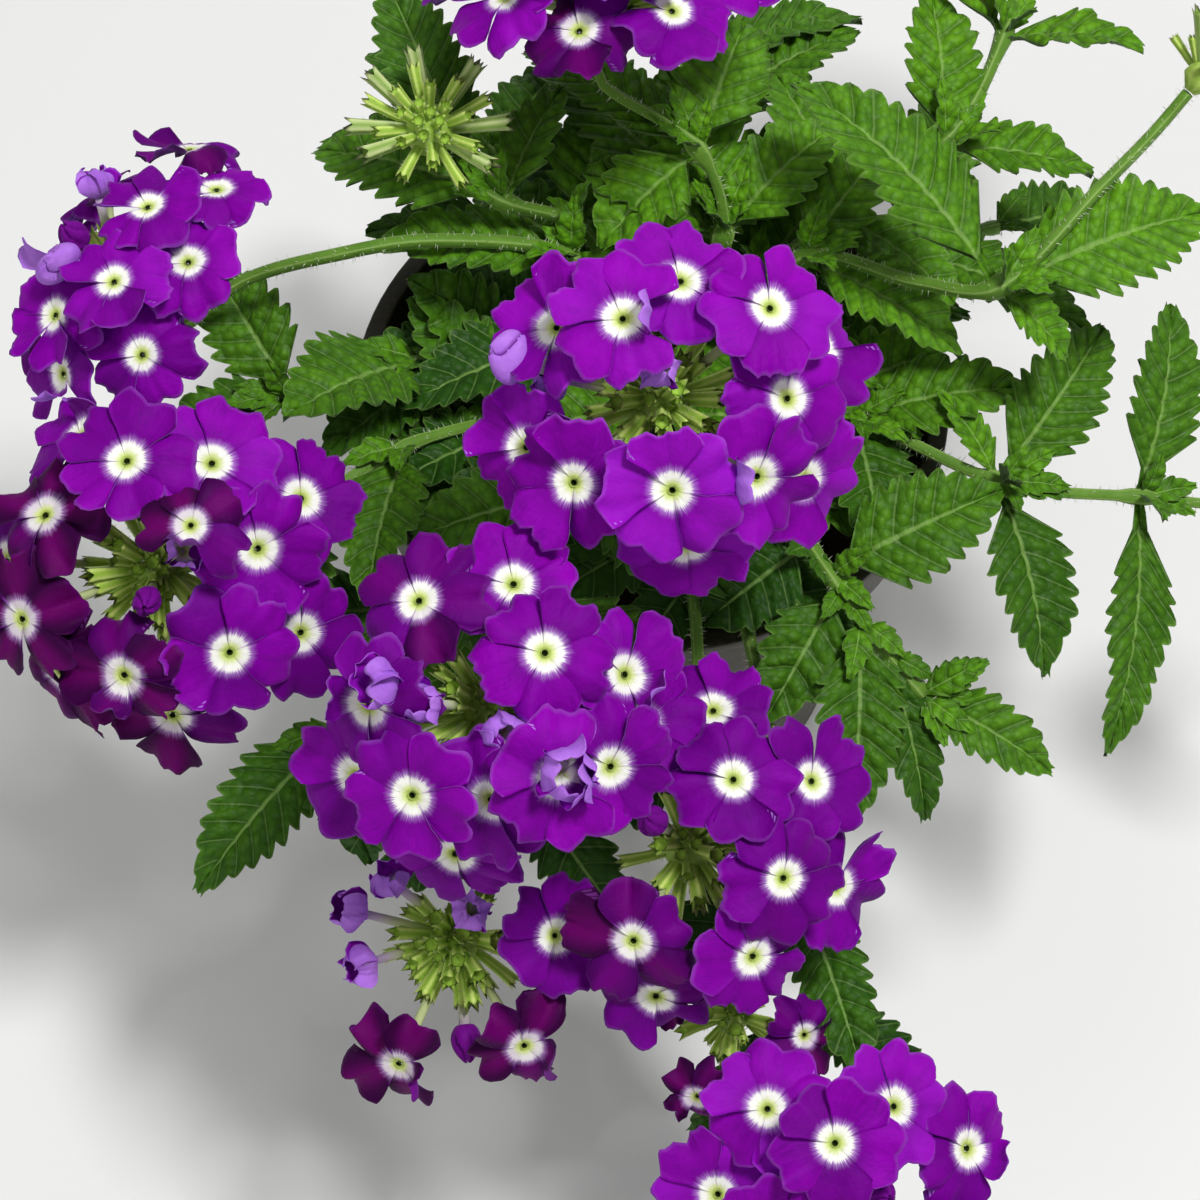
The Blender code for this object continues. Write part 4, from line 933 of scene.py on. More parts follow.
def add_stem(skin, points, rand, joints=()):
    """A square, ridged, hairy stem along a route, a little swollen at its joints."""
    path = curve_through(points, STEM_FINE_STEP)
    last = len(path) - 1
    across = (path[1] - path[0]).orthogonal()
    rows = []
    shade = rand.random()
    for index, place in enumerate(path):
        ahead = (path[min(index + 1, last)] - path[max(index - 1, 0)]).normalized()
        across = (across - ahead * across.dot(ahead)).normalized()
        other = ahead.cross(across)
        radius = STEM_ROOT_RADIUS + (STEM_TIP_RADIUS - STEM_ROOT_RADIUS) * index / last
        for joint in joints:
            radius += JOINT_SWELL * math.exp(-((place - joint).length / JOINT_LONG) ** 2)
        row = []
        for _, turn, out in round_ways(across, other, STEM_FINE_SIDES):
            ridge = math.cos(4 * turn)
            wide = radius * (0.94 + STEM_RIDGE * ridge)
            row.append(skin.point(place + out * wide, (index / last, ridge, shade)))
        rows.append(row)
        if place.z < PEAT_TOP + 1:
            continue
        for _ in range(round(STEM_HAIRS_PER_MM * STEM_FINE_STEP)):
            out = swung(across, other, rand.uniform(0, 2 * math.pi))
            way = (out + ahead * rand.uniform(-0.2, 0.5)).normalized()
            root = place + ahead * rand.uniform(0, STEM_FINE_STEP) + out * radius * 0.85
            add_hair(skin, root, way, rand.uniform(*STEM_HAIR), shade)
    skin.shell(rows)


def build_shoot(name, leaf_finish, stem_finish):
    """A shoot's stem, and its leaves with the little leaves in their axils."""
    shoot, rand = SHOOTS[name], random.Random(name)
    points = stem_points(shoot)
    leaves = leaves_of(name, points) + listed_leaves(CROWN_LEAVES.get(name, ()), points)
    stem = Skin()
    add_stem(stem, points, rand, [leaf[0] for leaf in leaves])
    if "fork" in shoot:
        place, head = shoot["fork"]
        start, _ = along(points, place + 1)
        add_stem(stem, [start] + stem_end(head), rand)
    place_piece(stem.piece(name + "_stem", stem_finish), name)
    blades = Skin()
    for base, tip, width, ahead in leaves:
        # Painted light: a leaf higher up, or further to the right and back, gets a lighter green
        # as if more lit, with a random tone on top
        painted_light = 0.4 * smooth(85, 135, tip.z) + 0.3 * smooth(-30, 60, tip.x + tip.y * 0.5)
        shade = 0.2 + painted_light + rand.uniform(-0.22, 0.22)
        add_leaf(blades, base, tip, width, shade, rand)
        way, across, _ = leaf_frame(base, tip)
        for side in (-1, 1):
            small = rand.uniform(*AXIL_LEAF)
            out = ahead * 0.9 + way * 0.5 + across * side * 0.8 + Vector((0, 0, 0.4))
            end = base + ahead * 1.0 + out.normalized() * small
            add_leaf(blades, base + ahead * 0.6, end, small * AXIL_WIDTH, shade + 0.2, rand,
                     AXIL_TEETH)
    place_piece(blades.piece(name + "_leaves", leaf_finish))


# Flower heads


def petal_half_width(share, wide):
    """Half width of a petal at a share of the floret's radius, on the same scale."""
    if share < PETAL_JOINED:
        return PETAL_SPREAD * share
    joined = PETAL_SPREAD * PETAL_JOINED
    rise = min(1.0, (share - PETAL_JOINED) / 0.3)
    return joined + (wide - joined) * math.sin(math.pi / 2 * rise)


def petal_end(across, notch):
    """How far out a petal reaches at a place across it: two lobes and the notch between."""
    side = abs(across)
    if side < 0.5:
        return PETAL_LOBE - notch * (1 - side / 0.5) ** 1.5
    return PETAL_LOBE - PETAL_SHOULDER * ((side - 0.5) / 0.5) ** 2.3


def rolled(reach, height, hinge, length, curl):
    """Where a point of a petal goes when the petal rolls up or back past its hinge."""
    past = reach - hinge
    if past <= 0 or abs(curl) < 0.02:
        return reach, height
    angle = curl * past / length
    turn_radius = length / curl
    out = hinge + turn_radius * math.sin(angle) - height * math.sin(angle)
    return out, turn_radius * (1 - math.cos(angle)) + height * math.cos(angle)


def add_petal(skin, place, turn, large, age, curl, rand):
    """One petal as a thin closed blade, notched, frilled, and rolled in where it is curled."""
    middle, right, top, facing, radius = place
    mid = swung(right, top, turn)
    side_way = facing.cross(mid)
    phase, tilt = rand.uniform(0, 6.3), rand.uniform(*PETAL_TILT)
    ruffle, cup = rand.uniform(*PETAL_RUFFLE) * (1 + age), rand.uniform(*PETAL_CUP)
    lift = rand.uniform(*PETAL_LIFT) - 1.6 * age
    wide, notch = rand.uniform(*PETAL_WIDE) * (1 - 0.2 * age), rand.uniform(*PETAL_NOTCH)
    frill = FRILLS[0] if rand.random() < FRILLED else FRILLS[1]
    ripples = rand.uniform(*PETAL_RIPPLES)
    shade = rand.uniform(-PETAL_SHADE, PETAL_SHADE) + age
    hinge = PETAL_HINGE * radius
    if curl > 1:
        hinge, frill, lift = FOLD_HINGE * radius, FOLD_FRILL, 0.0
        tilt, cup, ruffle = tilt * FOLD_FLATTENS, cup * FOLD_FLATTENS, ruffle * 0.6
        wide, notch = wide * FOLD_NARROWS, notch * 0.5
    layers = []
    for under in (0, 1):
        rows = []
        for n in range(PETAL_ALONG + 1):
            row = []
            out = (n / PETAL_ALONG) ** 0.9
            # The rim row takes some lilac of the underside: a painted highlight
            rim = PETAL_RIM_HIGHLIGHT if n == PETAL_ALONG else 0.0
            for m in range(PETAL_ACROSS + 1):
                across = 2 * m / PETAL_ACROSS - 1
                scallop = frill * math.sin(across * ripples + phase * 2)
                end = (petal_end(across, notch) + scallop) * large
                share = PETAL_FROM + (end - PETAL_FROM) * (1 - (1 - out) ** 1.15)
                across_mm = across * petal_half_width(share, wide) * radius
                height = -0.9 * (1 - out) ** 4 + lift * out ** 2 - 0.35 * out ** 5
                height += tilt * across * out + cup * across ** 2 * out
                height += ruffle * out ** 2 * math.sin(across * 4.2 + phase)
                height += frill * 9 * out ** 4 * math.cos(across * ripples + phase * 2)
                height -= 0.4 * out * math.exp(-((across / 0.16) ** 2))
                height -= under * PETAL_THICK * (1 - 0.55 * out)
                reach, height = rolled(share * radius, height, hinge, radius - hinge, curl)
                spot = middle + mid * reach + side_way * across_mm + facing * height
                from_middle = math.hypot(share, across_mm / radius)
                row.append(skin.point(spot, (from_middle, across, shade), max(under, rim)))
            rows.append(row)
        layers.append(rows)
    upper, lower = layers
    skin.grid(upper)
    skin.grid([row[::-1] for row in lower])
    first = [[row[0] for row in layer] for layer in (lower, upper)]
    last = [[row[-1] for row in layer] for layer in (upper, lower)]
    for edge in ((upper[-1], lower[-1]), first, last):
        skin.grid(edge)


def add_throat(skin, place, shade):
    """The little mouth of the tube, in the middle of the eye, painted dark as the shade inside it.
    """
    middle, right, top, facing, radius = place
    rows = []
    for wide, height, share in THROAT:
        rows.append([
            skin.point(middle + out * (radius * wide) + facing * height, (share, 0.0, shade))
            for _, _, out in round_ways(right, top, THROAT_SIDES)
        ])
    skin.grid(rows, closed=True)
    skin.faces.append(tuple(rows[-1]))


def add_tube(skin, start, end, radii, shade, sides=8):
    """The slim pale tube of a floret, from its calyx to its neck."""
    ways = square_ways((end - start).normalized())
    rows = []
    for n, radius in enumerate(radii):
        share = n / (len(radii) - 1)
        centre = start + (end - start) * share
        rows.append([
            skin.point(centre + out * radius, (2 + share, side, shade))
            for side, _, out in round_ways(*ways, sides)
        ])
    skin.shell(rows)


def add_calyx(skin, name, way, length, radius, teeth_open, rand, shade=None, start=CALYX_FROM):
    """A ribbed, hairy calyx with five narrow teeth round its mouth."""
    if shade is None:
        shade = rand.random()
    foot = head_middle(name) + way * start * core_scale(name)
    ways = square_ways(way)
    bend = (ways[0] * rand.uniform(-1, 1) + ways[1] * rand.uniform(-1, 1)) * 0.05
    rows = []
    for share, wide in CALYX_PROFILE:
        middle = foot + (way + bend * share) * (length * share)
        row = []
        for side, _, out in round_ways(*ways, CALYX_SIDES):
            rib = 1 + CALYX_RIB * (1 if side % 2 == 0 else -1)
            spot = middle + out * (radius * wide * rib)
            row.append(skin.point(spot, (share, side % 2, shade)))
        rows.append(row)
    skin.grid(rows, closed=True)
    skin.faces.append(tuple(reversed(rows[0])))
    mouth = rows[-1]
    for side, _, out in round_ways(*ways, CALYX_SIDES):
        if side % 2:
            continue
        spot = foot + (way + bend) * length + out * radius * (1 + teeth_open)
        tip = skin.point(spot, (1.0, 0.0, shade))
        before, after = mouth[side - 1], mouth[(side + 1) % CALYX_SIDES]
        inner = skin.point(skin.points[mouth[side]] - out * 0.25, (0.9, 1.0, shade))
        skin.faces.extend(((before, mouth[side], tip), (mouth[side], after, tip)))
        skin.faces.extend(((inner, before, tip), (after, inner, tip)))
        skin.faces.append((before, inner, after))
    deep = skin.point(foot + way * (length * 0.7), (0.7, 1.0, shade))
    for side in range(1, CALYX_SIDES, 2):
        skin.faces.append((mouth[side], deep, mouth[(side + 2) % CALYX_SIDES]))
    for _ in range(CALYX_HAIRS):
        turn, share = rand.uniform(0, 2 * math.pi), rand.uniform(0.1, 0.95)
        out = swung(*ways, turn)
        root = foot + (way + bend * share) * (length * share) + out * (radius * 0.78)
        lean = (out + way * rand.uniform(0.1, 0.6)).normalized()
        add_hair(skin, root, lean, rand.uniform(*CALYX_HAIR), shade)


def add_bud(skin, foot, way, across, size, petals, shade, rand):
    """A shut bud: petals folded over one another in a twist. Size is length and two widths."""
    other = way.cross(across)
    length, wide, deep = size
    rows = []
    twist = rand.uniform(0.5, 1.3)
    for n in range(BUD_STOPS + 1):
        share = n / BUD_STOPS
        swell = math.sin(math.pi * (0.1 + 0.86 * share) ** 0.8) ** 0.7
        row = []
        for side in range(BUD_SIDES):
            turn = 2 * math.pi * side / BUD_SIDES
            fold = (side / BUD_SIDES * petals + share * twist) % 1.0
            crease = swell * (1 - 0.34 * (1 - fold) ** 4 * smooth(0.1, 0.55, share))
            out = across * (math.cos(turn) * wide) + other * (math.sin(turn) * deep)
            dip = 1.1 * (1 - fold) ** 3 * smooth(0.5, 1.0, share)
            spot = foot + way * (length * share - dip) + out * crease
            row.append(skin.point(spot, (0.6 + 0.3 * fold, fold * 2 - 1, shade), 1.0))
        rows.append(row)
    skin.shell(rows)


def add_shut_floret(skin, name, clock, off, rand):
    """A dark bud on its tube, where the solid has one."""
    centre, way = head_middle(name), from_axis(name, clock, off)
    start = (REACH - BUD_BELOW_FLORETS) * HEADS[name]["size"]
    add_tube(skin, centre + way * BUD_TUBE_FROM, centre + way * (start + 1.5), BUD_TUBE, DARK_BUD)
    size = (BUD_LENGTH, BUD_RADIUS, BUD_RADIUS * rand.uniform(0.78, 1.0))
    across, _ = square_ways(way)
    add_bud(skin, centre + way * start, way, across, size, PETALS, DARK_BUD, rand)


def add_opening_floret(skin, name, place, rand):
    """A floret about to open: short petals, still rolled in over one another."""
    clock, off, reach, radius = place
    centre, way = head_middle(name), from_axis(name, clock, off)
    neck = centre + way * (reach - 1.2)
    add_tube(skin, centre + way * BUD_TUBE_FROM, neck, OPENING_TUBE, LILAC_BUD)
    spot = (centre + way * reach, *square_ways(way), way, radius)
    for petal in range(PETALS):
        turn = 2 * math.pi * petal / PETALS + rand.uniform(-0.2, 0.2)
        large = rand.uniform(0.8, 1.0)
        add_petal(skin, spot, turn, large, 0.0, rand.uniform(*OPENING_CURL), rand)


def add_nodding_floret(skin, name, place, rand):
    """A large lilac floret, about to open, that leans out over its neighbours."""
    clock, off, reach = place
    centre, way = head_middle(name), from_axis(name, clock, off)
    across = way.cross(head_frame(name)[2]).normalized()
    neck = centre + way * (reach - 2.4)
    add_tube(skin, centre + way * TUBE_FROM, neck, NODDING_TUBE, LILAC_BUD, 12)
    foot = centre + way * (reach - 3)
    add_bud(skin, foot, way, across, NODDING_SIZE, 2, LILAC_BUD, rand)


def add_open_floret(petals, greens, name, place, age, spin, folded, rand):
    """An open floret with its tube and calyx. One of its petals may be folded over."""
    centre, spot = head_middle(name), floret_frame(name, place)
    for petal, large in enumerate(PETAL_SIZES):
        turn = math.radians(spin + 360 / PETALS * petal)
        curl = 0.0
        if petal == folded:
            curl, large = PETAL_CURL, large * 0.8
        elif age > OLD_AGE:
            curl = rand.uniform(*OLD_CURL)
        add_petal(petals, spot, turn, large, age, curl, rand)
    add_throat(petals, spot, age)
    out = (spot[0] - centre).normalized()
    add_tube(petals, centre + out * TUBE_FROM, spot[0] - spot[3] * 1.7, OPEN_TUBE, age)
    length = FLORET_CALYX * min(1.0, HEADS[name]["size"] + 0.05)
    add_calyx(greens, name, out, length, CALYX_WIDE, 0.1, rand)


def add_core(skin, name):
    """The fleshy tip of the flower stalk, under its crowd of calyces."""
    centre, scale, axis = head_middle(name), core_scale(name), head_frame(name)[2]
    rows = []
    for height, wide in CORE_RINGS:
        middle = centre + axis * (height * scale)
        radius = CORE_RADIUS * scale * wide * CORE_SLIMMER
        rows.append([
            skin.point(middle + out * radius, (0.2, side % 2, 0.3))
            for side, _, out in round_ways(*square_ways(axis), CORE_SIDES)
        ])
    skin.shell(rows)


def build_head(name, petal_finish, calyx_finish):
    """A head: florets and buds in one piece, calyces and the core they grow from in another."""
    head, scale, tree = HEADS[name], core_scale(name), node_points(name)
    rand = random.Random(name)
    petals, greens = Skin(), Skin()
    add_core(greens, name)
    for number, place, spin in florets_of(name, tree):
        age = head["ages"].get(number, head["age"]) + rand.uniform(*AGE_CHANGE)
        age = min(1.0, max(0.0, age))
        folded = head["curled"].get(number)
        add_open_floret(petals, greens, name, place, age, spin, folded, rand)
    bud_middle = (REACH - BUD_BELOW_FLORETS) * head["size"] + BUD_LENGTH * 0.5
    for clock, off in spokes_of(name, tree, head["buds"], lambda spot: bud_middle, BUD_RADIUS):
        if rand.random() < BUDS_OPENING:
            reach = bud_middle - BUD_LENGTH * 0.5 + 2.4
            add_opening_floret(petals, name, (clock, off, reach, OPENING_RADIUS), rand)
        else:
            add_shut_floret(petals, name, clock, off, rand)
        add_calyx(greens, name, from_axis(name, clock, off), BUD_CALYX, CALYX_WIDE, 0.05, rand)
    for place in NODDING_FLORETS.get(name, ()):
        add_nodding_floret(petals, name, place, rand)
    for place in HALF_OPEN_FLORETS.get(name, ()):
        add_opening_floret(petals, name, place, rand)
    if name in LATE_FLORETS:
        add_open_floret(petals, greens, name, *LATE_FLORETS[name], rand)
    bare = bool(head["ring"])
    for clock, off, length in spokes_of(name, tree, calyx_places(name),
                                        lambda spot: spot[2] + CORE_RADIUS, CALYX_RADIUS):
        whole = length + CORE_RADIUS - CALYX_FROM * scale
        add_calyx(greens, name, from_axis(name, clock, off), whole, CALYX_RADIUS * 0.95, 0.3, rand,
                  BARE_SHADE if bare else None)
    extra = EXTRA_CALYCES + (5 if bare else 0)
    for index in range(extra):
        way = from_axis(name, GOLDEN_ANGLE * index + 67, 8 + 70 * (index + 0.5) / extra)
        length = (4.5 + 5 * index / extra) * scale
        add_calyx(greens, name, way, length, 0.95 * scale + 0.1, 0.1, rand, start=3.4)
    if petals.points:
        place_piece(petals.piece(name + "_florets", petal_finish), name)
    calyces = greens.piece(name + "_calyces", calyx_finish)
    place_piece(calyces, None if petals.points else name)


# Pot and peat


def turned_skin(profile, sides):
    """A closed skin turned about Z from (radius, height) points that run anticlockwise."""
    skin = Skin()
    columns = []
    for side in range(sides):
        turn = 2 * math.pi * side / sides
        column = []
        for step, (radius, height) in enumerate(profile):
            spot = Vector((radius * math.cos(turn), radius * math.sin(turn), height))
            column.append(skin.point(spot, (step / len(profile), side / sides, 0.5)))
        columns.append(column)
    skin.grid((columns + columns[:1])[::-1])
    skin.faces.append(tuple(column[0] for column in columns[::-1]))
    skin.faces.append(tuple(column[-1] for column in columns))
    return skin


def pot_wall_radius(height):
    taper = (POT_RIM_RADIUS - 2 * POT_COLLAR_STEP - POT_BASE_RADIUS) / POT_HEIGHT
    return POT_BASE_RADIUS + taper * height


def rounded(profile, radius, steps=3):
    """A closed profile with each corner eased by short curves."""
    eased = []
    for n, corner in enumerate(profile):
        here, before = Vector(corner), Vector(profile[n - 1])
        after = Vector(profile[(n + 1) % len(profile)])
        cut = min(radius, (before - here).length * 0.45, (after - here).length * 0.45)
        first = here + (before - here).normalized() * cut
        last = here + (after - here).normalized() * cut
        for step in range(steps + 1):
            share = step / steps
            eased.append(first.lerp(here, share).lerp(here.lerp(last, share), share))
    return eased


def build_pot(finish):
    """The nursery pot: tapered wall, stepped collar, rolled lip and drain holes."""
    collar = POT_HEIGHT - POT_COLLAR_HEIGHT
    lip = POT_RIM_RADIUS - POT_COLLAR_STEP
    profile = (
        (POT_GATE, 0.0),
        (POT_BASE_RADIUS - POT_CHAMFER, 0.0),
        (POT_BASE_RADIUS, POT_CHAMFER),
        (pot_wall_radius(collar), collar),
        (lip, collar + 1.0),
        (lip, POT_HEIGHT - POT_LIP_HEIGHT - 0.8),
        (POT_RIM_RADIUS, POT_HEIGHT - POT_LIP_HEIGHT),
        (POT_RIM_RADIUS, POT_HEIGHT),
        (lip - POT_WALL, POT_HEIGHT),
        (lip - POT_WALL, collar + 1.5),
        (pot_wall_radius(collar) - POT_WALL, collar - 1.0),
        (POT_BASE_RADIUS - POT_WALL, POT_FLOOR),
        (POT_GATE, POT_FLOOR),
    )
    skin = turned_skin([tuple(p) for p in rounded(profile, POT_ROUNDING)], POT_SIDES)
    pot = skin.piece("pot_moulding", finish)
    holes = []
    for hole in range(DRAIN_HOLES):
        bpy.ops.mesh.primitive_cylinder_add(
            vertices=DRAIN_SIDES, radius=DRAIN_RADIUS * MM, depth=4 * POT_FLOOR * MM,
            location=polar(360 * hole / DRAIN_HOLES) * DRAIN_CIRCLE * MM,
        )
        holes.append(bpy.context.object)
        cut = pot.modifiers.new("Drain hole", "BOOLEAN")
        cut.object = holes[-1]
    bpy.context.view_layer.update()
    seen = pot.evaluated_get(bpy.context.evaluated_depsgraph_get())
    cut_mesh = bpy.data.meshes.new_from_object(seen)
    pot.modifiers.clear()
    pot.data = cut_mesh
    pot.data.set_sharp_from_angle(angle=math.radians(SHARP_ANGLE))
    for hole in holes:
        bpy.data.objects.remove(hole)
    place_piece(pot, "pot")


def add_crumb(skin, place, size, shade, rand):
    """A little uneven lump."""
    turn = rand.uniform(0, 6.3)
    axle = polar(rand.uniform(0, 360), rand.uniform(0, 90))
    turned = Matrix.Rotation(turn, 3, axle)
    corners = []
    for axis in range(3):
        for end in (1, -1):
            way = Vector([end * (number == axis) for number in range(3)])
            spot = place + turned @ way * (size * rand.uniform(0.6, 1.1))
            corners.append(skin.point(spot, (0.0, 0.0, shade)))
    for a, b in ((0, 2), (2, 1), (1, 3), (3, 0)):
        skin.faces.append((corners[a], corners[b], corners[4]))
        skin.faces.append((corners[b], corners[a], corners[5]))


def build_peat(finish):
    """Crumbly peat with pale grains in it, sunk a little below the rim."""
    rand = random.Random(PEAT_SEED)
    collar = POT_HEIGHT - POT_COLLAR_HEIGHT
    rim = POT_RIM_RADIUS - POT_COLLAR_STEP - POT_WALL - SEAT
    skin = Skin()
    rings = [
        (POT_BASE_RADIUS - POT_WALL - SEAT, POT_FLOOR + SEAT),
        (pot_wall_radius(collar) - POT_WALL - SEAT, collar - 1.0),
        (rim, collar + 2.0),
    ]
    rings += [(rim * (1 - ring / PEAT_RINGS), None) for ring in range(PEAT_RINGS)]
    rows = []
    for radius, height in rings:
        row = []
        for side in range(PEAT_SIDES):
            spot = polar(360 * side / PEAT_SIDES) * radius
            lumps = sum(high * noise.noise(spot * often) for high, often in PEAT_LUMPS)
            spot.z = PEAT_TOP + lumps - 0.2 if height is None else height
            row.append(skin.point(spot, (0.0, 0.0, 0.4)))
        rows.append(row)
    skin.shell(rows)
    for _ in range(PEAT_CRUMBS):
        reach = rim * math.sqrt(rand.random()) * 0.985
        spot = polar(rand.uniform(0, 360)) * reach
        spot.z = PEAT_TOP + rand.uniform(-0.3, 1.0)
        pale = rand.random() < PALE_CRUMBS
        size = rand.uniform(*CRUMB_SIZES[pale])
        add_crumb(skin, spot, size, 2.0 if pale else rand.random(), rand)
    place_piece(skin.piece("peat_crumb", finish), "peat")


# Colours, as linear red, green and blue


VIOLETS = (0.14, 0.0, 0.235), (0.215, 0.0, 0.335)
VIOLET_BLOTCH = (0.31, 0.0, 0.455)
VIOLET_PALE = (0.34, 0.012, 0.58)
VIOLET_BY_EYE = (0.12, 0.0, 0.2)
VIOLET_RIPE = (0.085, 0.0, 0.15)
MAROONS = (0.035, 0.0, 0.04), (0.14, 0.0, 0.12)
EYE_BLUSH = (0.62, 0.38, 0.82)
EYE_WHITE = (0.93, 0.93, 0.86)
# Painted shade for the seams between petals near the eye
SEAM_SHADE = (0.13, 0.001, 0.22)
THROAT_GREEN = (0.6, 0.72, 0.16)
THROAT_LIP = (0.3, 0.42, 0.03)
THROAT_SHADOW = (0.015, 0.025, 0.002)
LILACS = (0.33, 0.1, 0.62), (0.5, 0.22, 0.78)
LILAC_FADED = (0.12, 0.02, 0.16)
BUD_VIOLET = (0.17, 0.004, 0.25)
BUD_CREASE_SHADE = (0.1, 0.002, 0.17)
TUBES = (0.5, 0.58, 0.27), (0.5, 0.38, 0.55)
# Leaf greens as painted shade and painted light; a leaf's third mark blends from the shaded to the
# lit ones
LEAF_SHADED_GREENS = (0.009, 0.045, 0.003), (0.028, 0.105, 0.005)
LEAF_LIT_GREENS = (0.075, 0.235, 0.004), (0.16, 0.4, 0.012)
LEAF_GROOVE_SHADE = (0.008, 0.04, 0.002)
LEAF_CREASE_SHADE = (0.01, 0.05, 0.003)
# Pale green of the vein lines, also laid along the leaf's margin as a painted highlight
LEAF_VEIN_AND_MARGIN_HIGHLIGHT = (0.25, 0.42, 0.1)
LEAF_UNDERSIDES = (0.1, 0.18, 0.06), (0.2, 0.3, 0.12)
STEM_GREENS = (0.075, 0.19, 0.015), (0.15, 0.3, 0.035)
STEM_CREST = (0.34, 0.5, 0.14)
STEM_BRONZE = (0.1, 0.09, 0.03)
STEM_DOWN = (0.6, 0.68, 0.45)
CALYX_RIBS = (0.58, 0.74, 0.14), (0.72, 0.86, 0.27)
CALYX_GROOVES = (0.27, 0.45, 0.04), (0.38, 0.58, 0.08)
CALYX_FOOT_SHADE = (0.32, 0.48, 0.08)
CALYX_BARE = (0.62, 0.7, 0.36), (0.2, 0.34, 0.06)
CALYX_TIP = (0.06, 0.035, 0.03)
CALYX_DOWN = (0.5, 0.6, 0.35)
POT_GREYS = (0.028, 0.023, 0.014), (0.09, 0.077, 0.05)
PEAT_BROWNS = (0.016, 0.01, 0.006), (0.07, 0.043, 0.024)
PEAT_LIT = (0.1, 0.062, 0.036)
PEAT_PALE = (0.5, 0.47, 0.4)
FLOOR_GREY = (0.86, 0.86, 0.85)


# Materials


class Painter:
    """Adds nodes to one shader tree. A value is a socket, a number or a colour."""

    def __init__(self, tree):
        self.tree = tree

    def feed(self, value, socket):
        if isinstance(value, bpy.types.NodeSocket):
            self.tree.links.new(value, socket)
        else:
            socket.default_value = (*value, 1.0) if isinstance(value, tuple) else value

    def node(self, kind, **values):
        """A node, with its settings and its inputs given by name."""
        node = self.tree.nodes.new(kind)
        for name, value in values.items():
            label = name.replace("_", " ")
            if label in node.inputs:
                self.feed(value, node.inputs[label])
            else:
                setattr(node, name, value)
        return node

    def maths(self, operation, *values, clamp=False):
        node = self.node("ShaderNodeMath", operation=operation, use_clamp=clamp)
        for value, socket in zip(values, node.inputs):
            self.feed(value, socket)
        return node.outputs[0]

    def times(self, first, second):
        return self.maths("MULTIPLY", first, second)

    def step(self, value, low, high):
        """A mask that goes from 0 at low to 1 at high."""
        node = self.node("ShaderNodeMapRange", interpolation_type="SMOOTHSTEP", Value=value,
                         From_Min=low, From_Max=high)
        return node.outputs["Result"]

    def blend(self, mask, first, second):
        """One colour turning into another by a mask."""
        node = self.node("ShaderNodeMix", data_type="RGBA", Factor=mask)
        self.feed(first, node.inputs[6])
        self.feed(second, node.inputs[7])
        return node.outputs[2]

    def layers(self, colour, *layers):
        """A colour with others laid over it, each as its mask, its share and its colour."""
        for mask, share, tint in layers:
            colour = self.blend(mask if share == 1 else self.times(mask, share), colour, tint)
        return colour


def add_group(name, inputs, outputs):
    """A node group's painter, its inputs and the sockets that its results go to."""
    tree = bpy.data.node_groups.new(name, "ShaderNodeTree")
    for label, value in inputs.items():
        socket = tree.interface.new_socket(label, in_out="INPUT", socket_type="NodeSocketFloat")
        socket.default_value = value
    for label, kind in outputs.items():
        tree.interface.new_socket(label, in_out="OUTPUT", socket_type=kind)
    given, made = tree.nodes.new("NodeGroupInput"), tree.nodes.new("NodeGroupOutput")
    return Painter(tree), given.outputs, made.inputs


def add_mottling_group():
    """Soft blotches on anything grown or moulded: a mask from 0 to 1."""
    paint, given, made = add_group(
        "mottling", {"Scale": 200.0, "Contrast": 1.5}, {"Mask": "NodeSocketFloat"},
    )
    where = paint.node("ShaderNodeTexCoord").outputs["Object"]
    blotch = paint.node("ShaderNodeTexNoise", Vector=where, Scale=given["Scale"], Detail=4.0,
                        Roughness=0.6)
    spread = paint.maths("SUBTRACT", blotch.outputs["Fac"], 0.5)
    steep = paint.maths("MULTIPLY_ADD", spread, given["Contrast"], 0.5, clamp=True)
    paint.feed(steep, made["Mask"])


def add_grain_group():
    """Fine relief of cells, down or crumb: a normal, and a mask of the creases between cells."""
    paint, given, made = add_group(
        "fine_grain", {"Scale": 1500.0, "Height": 0.0002, "Cells": 0.5},
        {"Normal": "NodeSocketVector", "Crease": "NodeSocketFloat"},
    )
    spread = dict(Vector=paint.node("ShaderNodeTexCoord").outputs["Object"], Scale=given["Scale"])
    specks = paint.node("ShaderNodeTexNoise", Detail=3.0, Roughness=0.6, **spread)
    cells = paint.node("ShaderNodeTexVoronoi", feature="F1", **spread).outputs["Distance"]
    height = paint.node("ShaderNodeMix", data_type="FLOAT", Factor=given["Cells"])
    paint.feed(specks.outputs["Fac"], height.inputs[2])
    paint.feed(paint.maths("SUBTRACT", 1.0, cells), height.inputs[3])
    bump = paint.node("ShaderNodeBump", Strength=0.8, Height=height.outputs[0],
                      Distance=given["Height"])
    paint.feed(bump.outputs["Normal"], made["Normal"])
    paint.feed(paint.step(cells, 0.3, 0.75), made["Crease"])


class Finish(Painter):
    """One material, painted over the marks that a skin carries."""

    def __init__(self, name):
        self.material = bpy.data.materials.new(name)
        self.material.use_nodes = True
        super().__init__(self.material.node_tree)

    def marks(self):
        """The three numbers of a point's mark, and whether it is on the underside."""
        mark = self.node("ShaderNodeAttribute", attribute_name="mark").outputs["Vector"]
        side = self.node("ShaderNodeAttribute", attribute_name="side").outputs["Fac"]
        return (*self.node("ShaderNodeSeparateXYZ", Vector=mark).outputs, side)

    def group(self, name, **values):
        made = bpy.data.node_groups[name]
        return self.node("ShaderNodeGroup", node_tree=made, **values).outputs

    def mottled(self, scale, contrast):
        return self.group("mottling", Scale=scale, Contrast=contrast)["Mask"]

    def grained(self, scale, height, cells):
        """The normal of a fine grain, and the mask of its creases."""
        return self.group("fine_grain", Scale=scale, Height=height, Cells=cells)

    def done(self, **values):
        """The material, once its shader has its values by name."""
        shader = self.tree.nodes["Principled BSDF"]
        for name, value in values.items():
            self.feed(value, shader.inputs[name.replace("_", " ")])
        return self.material


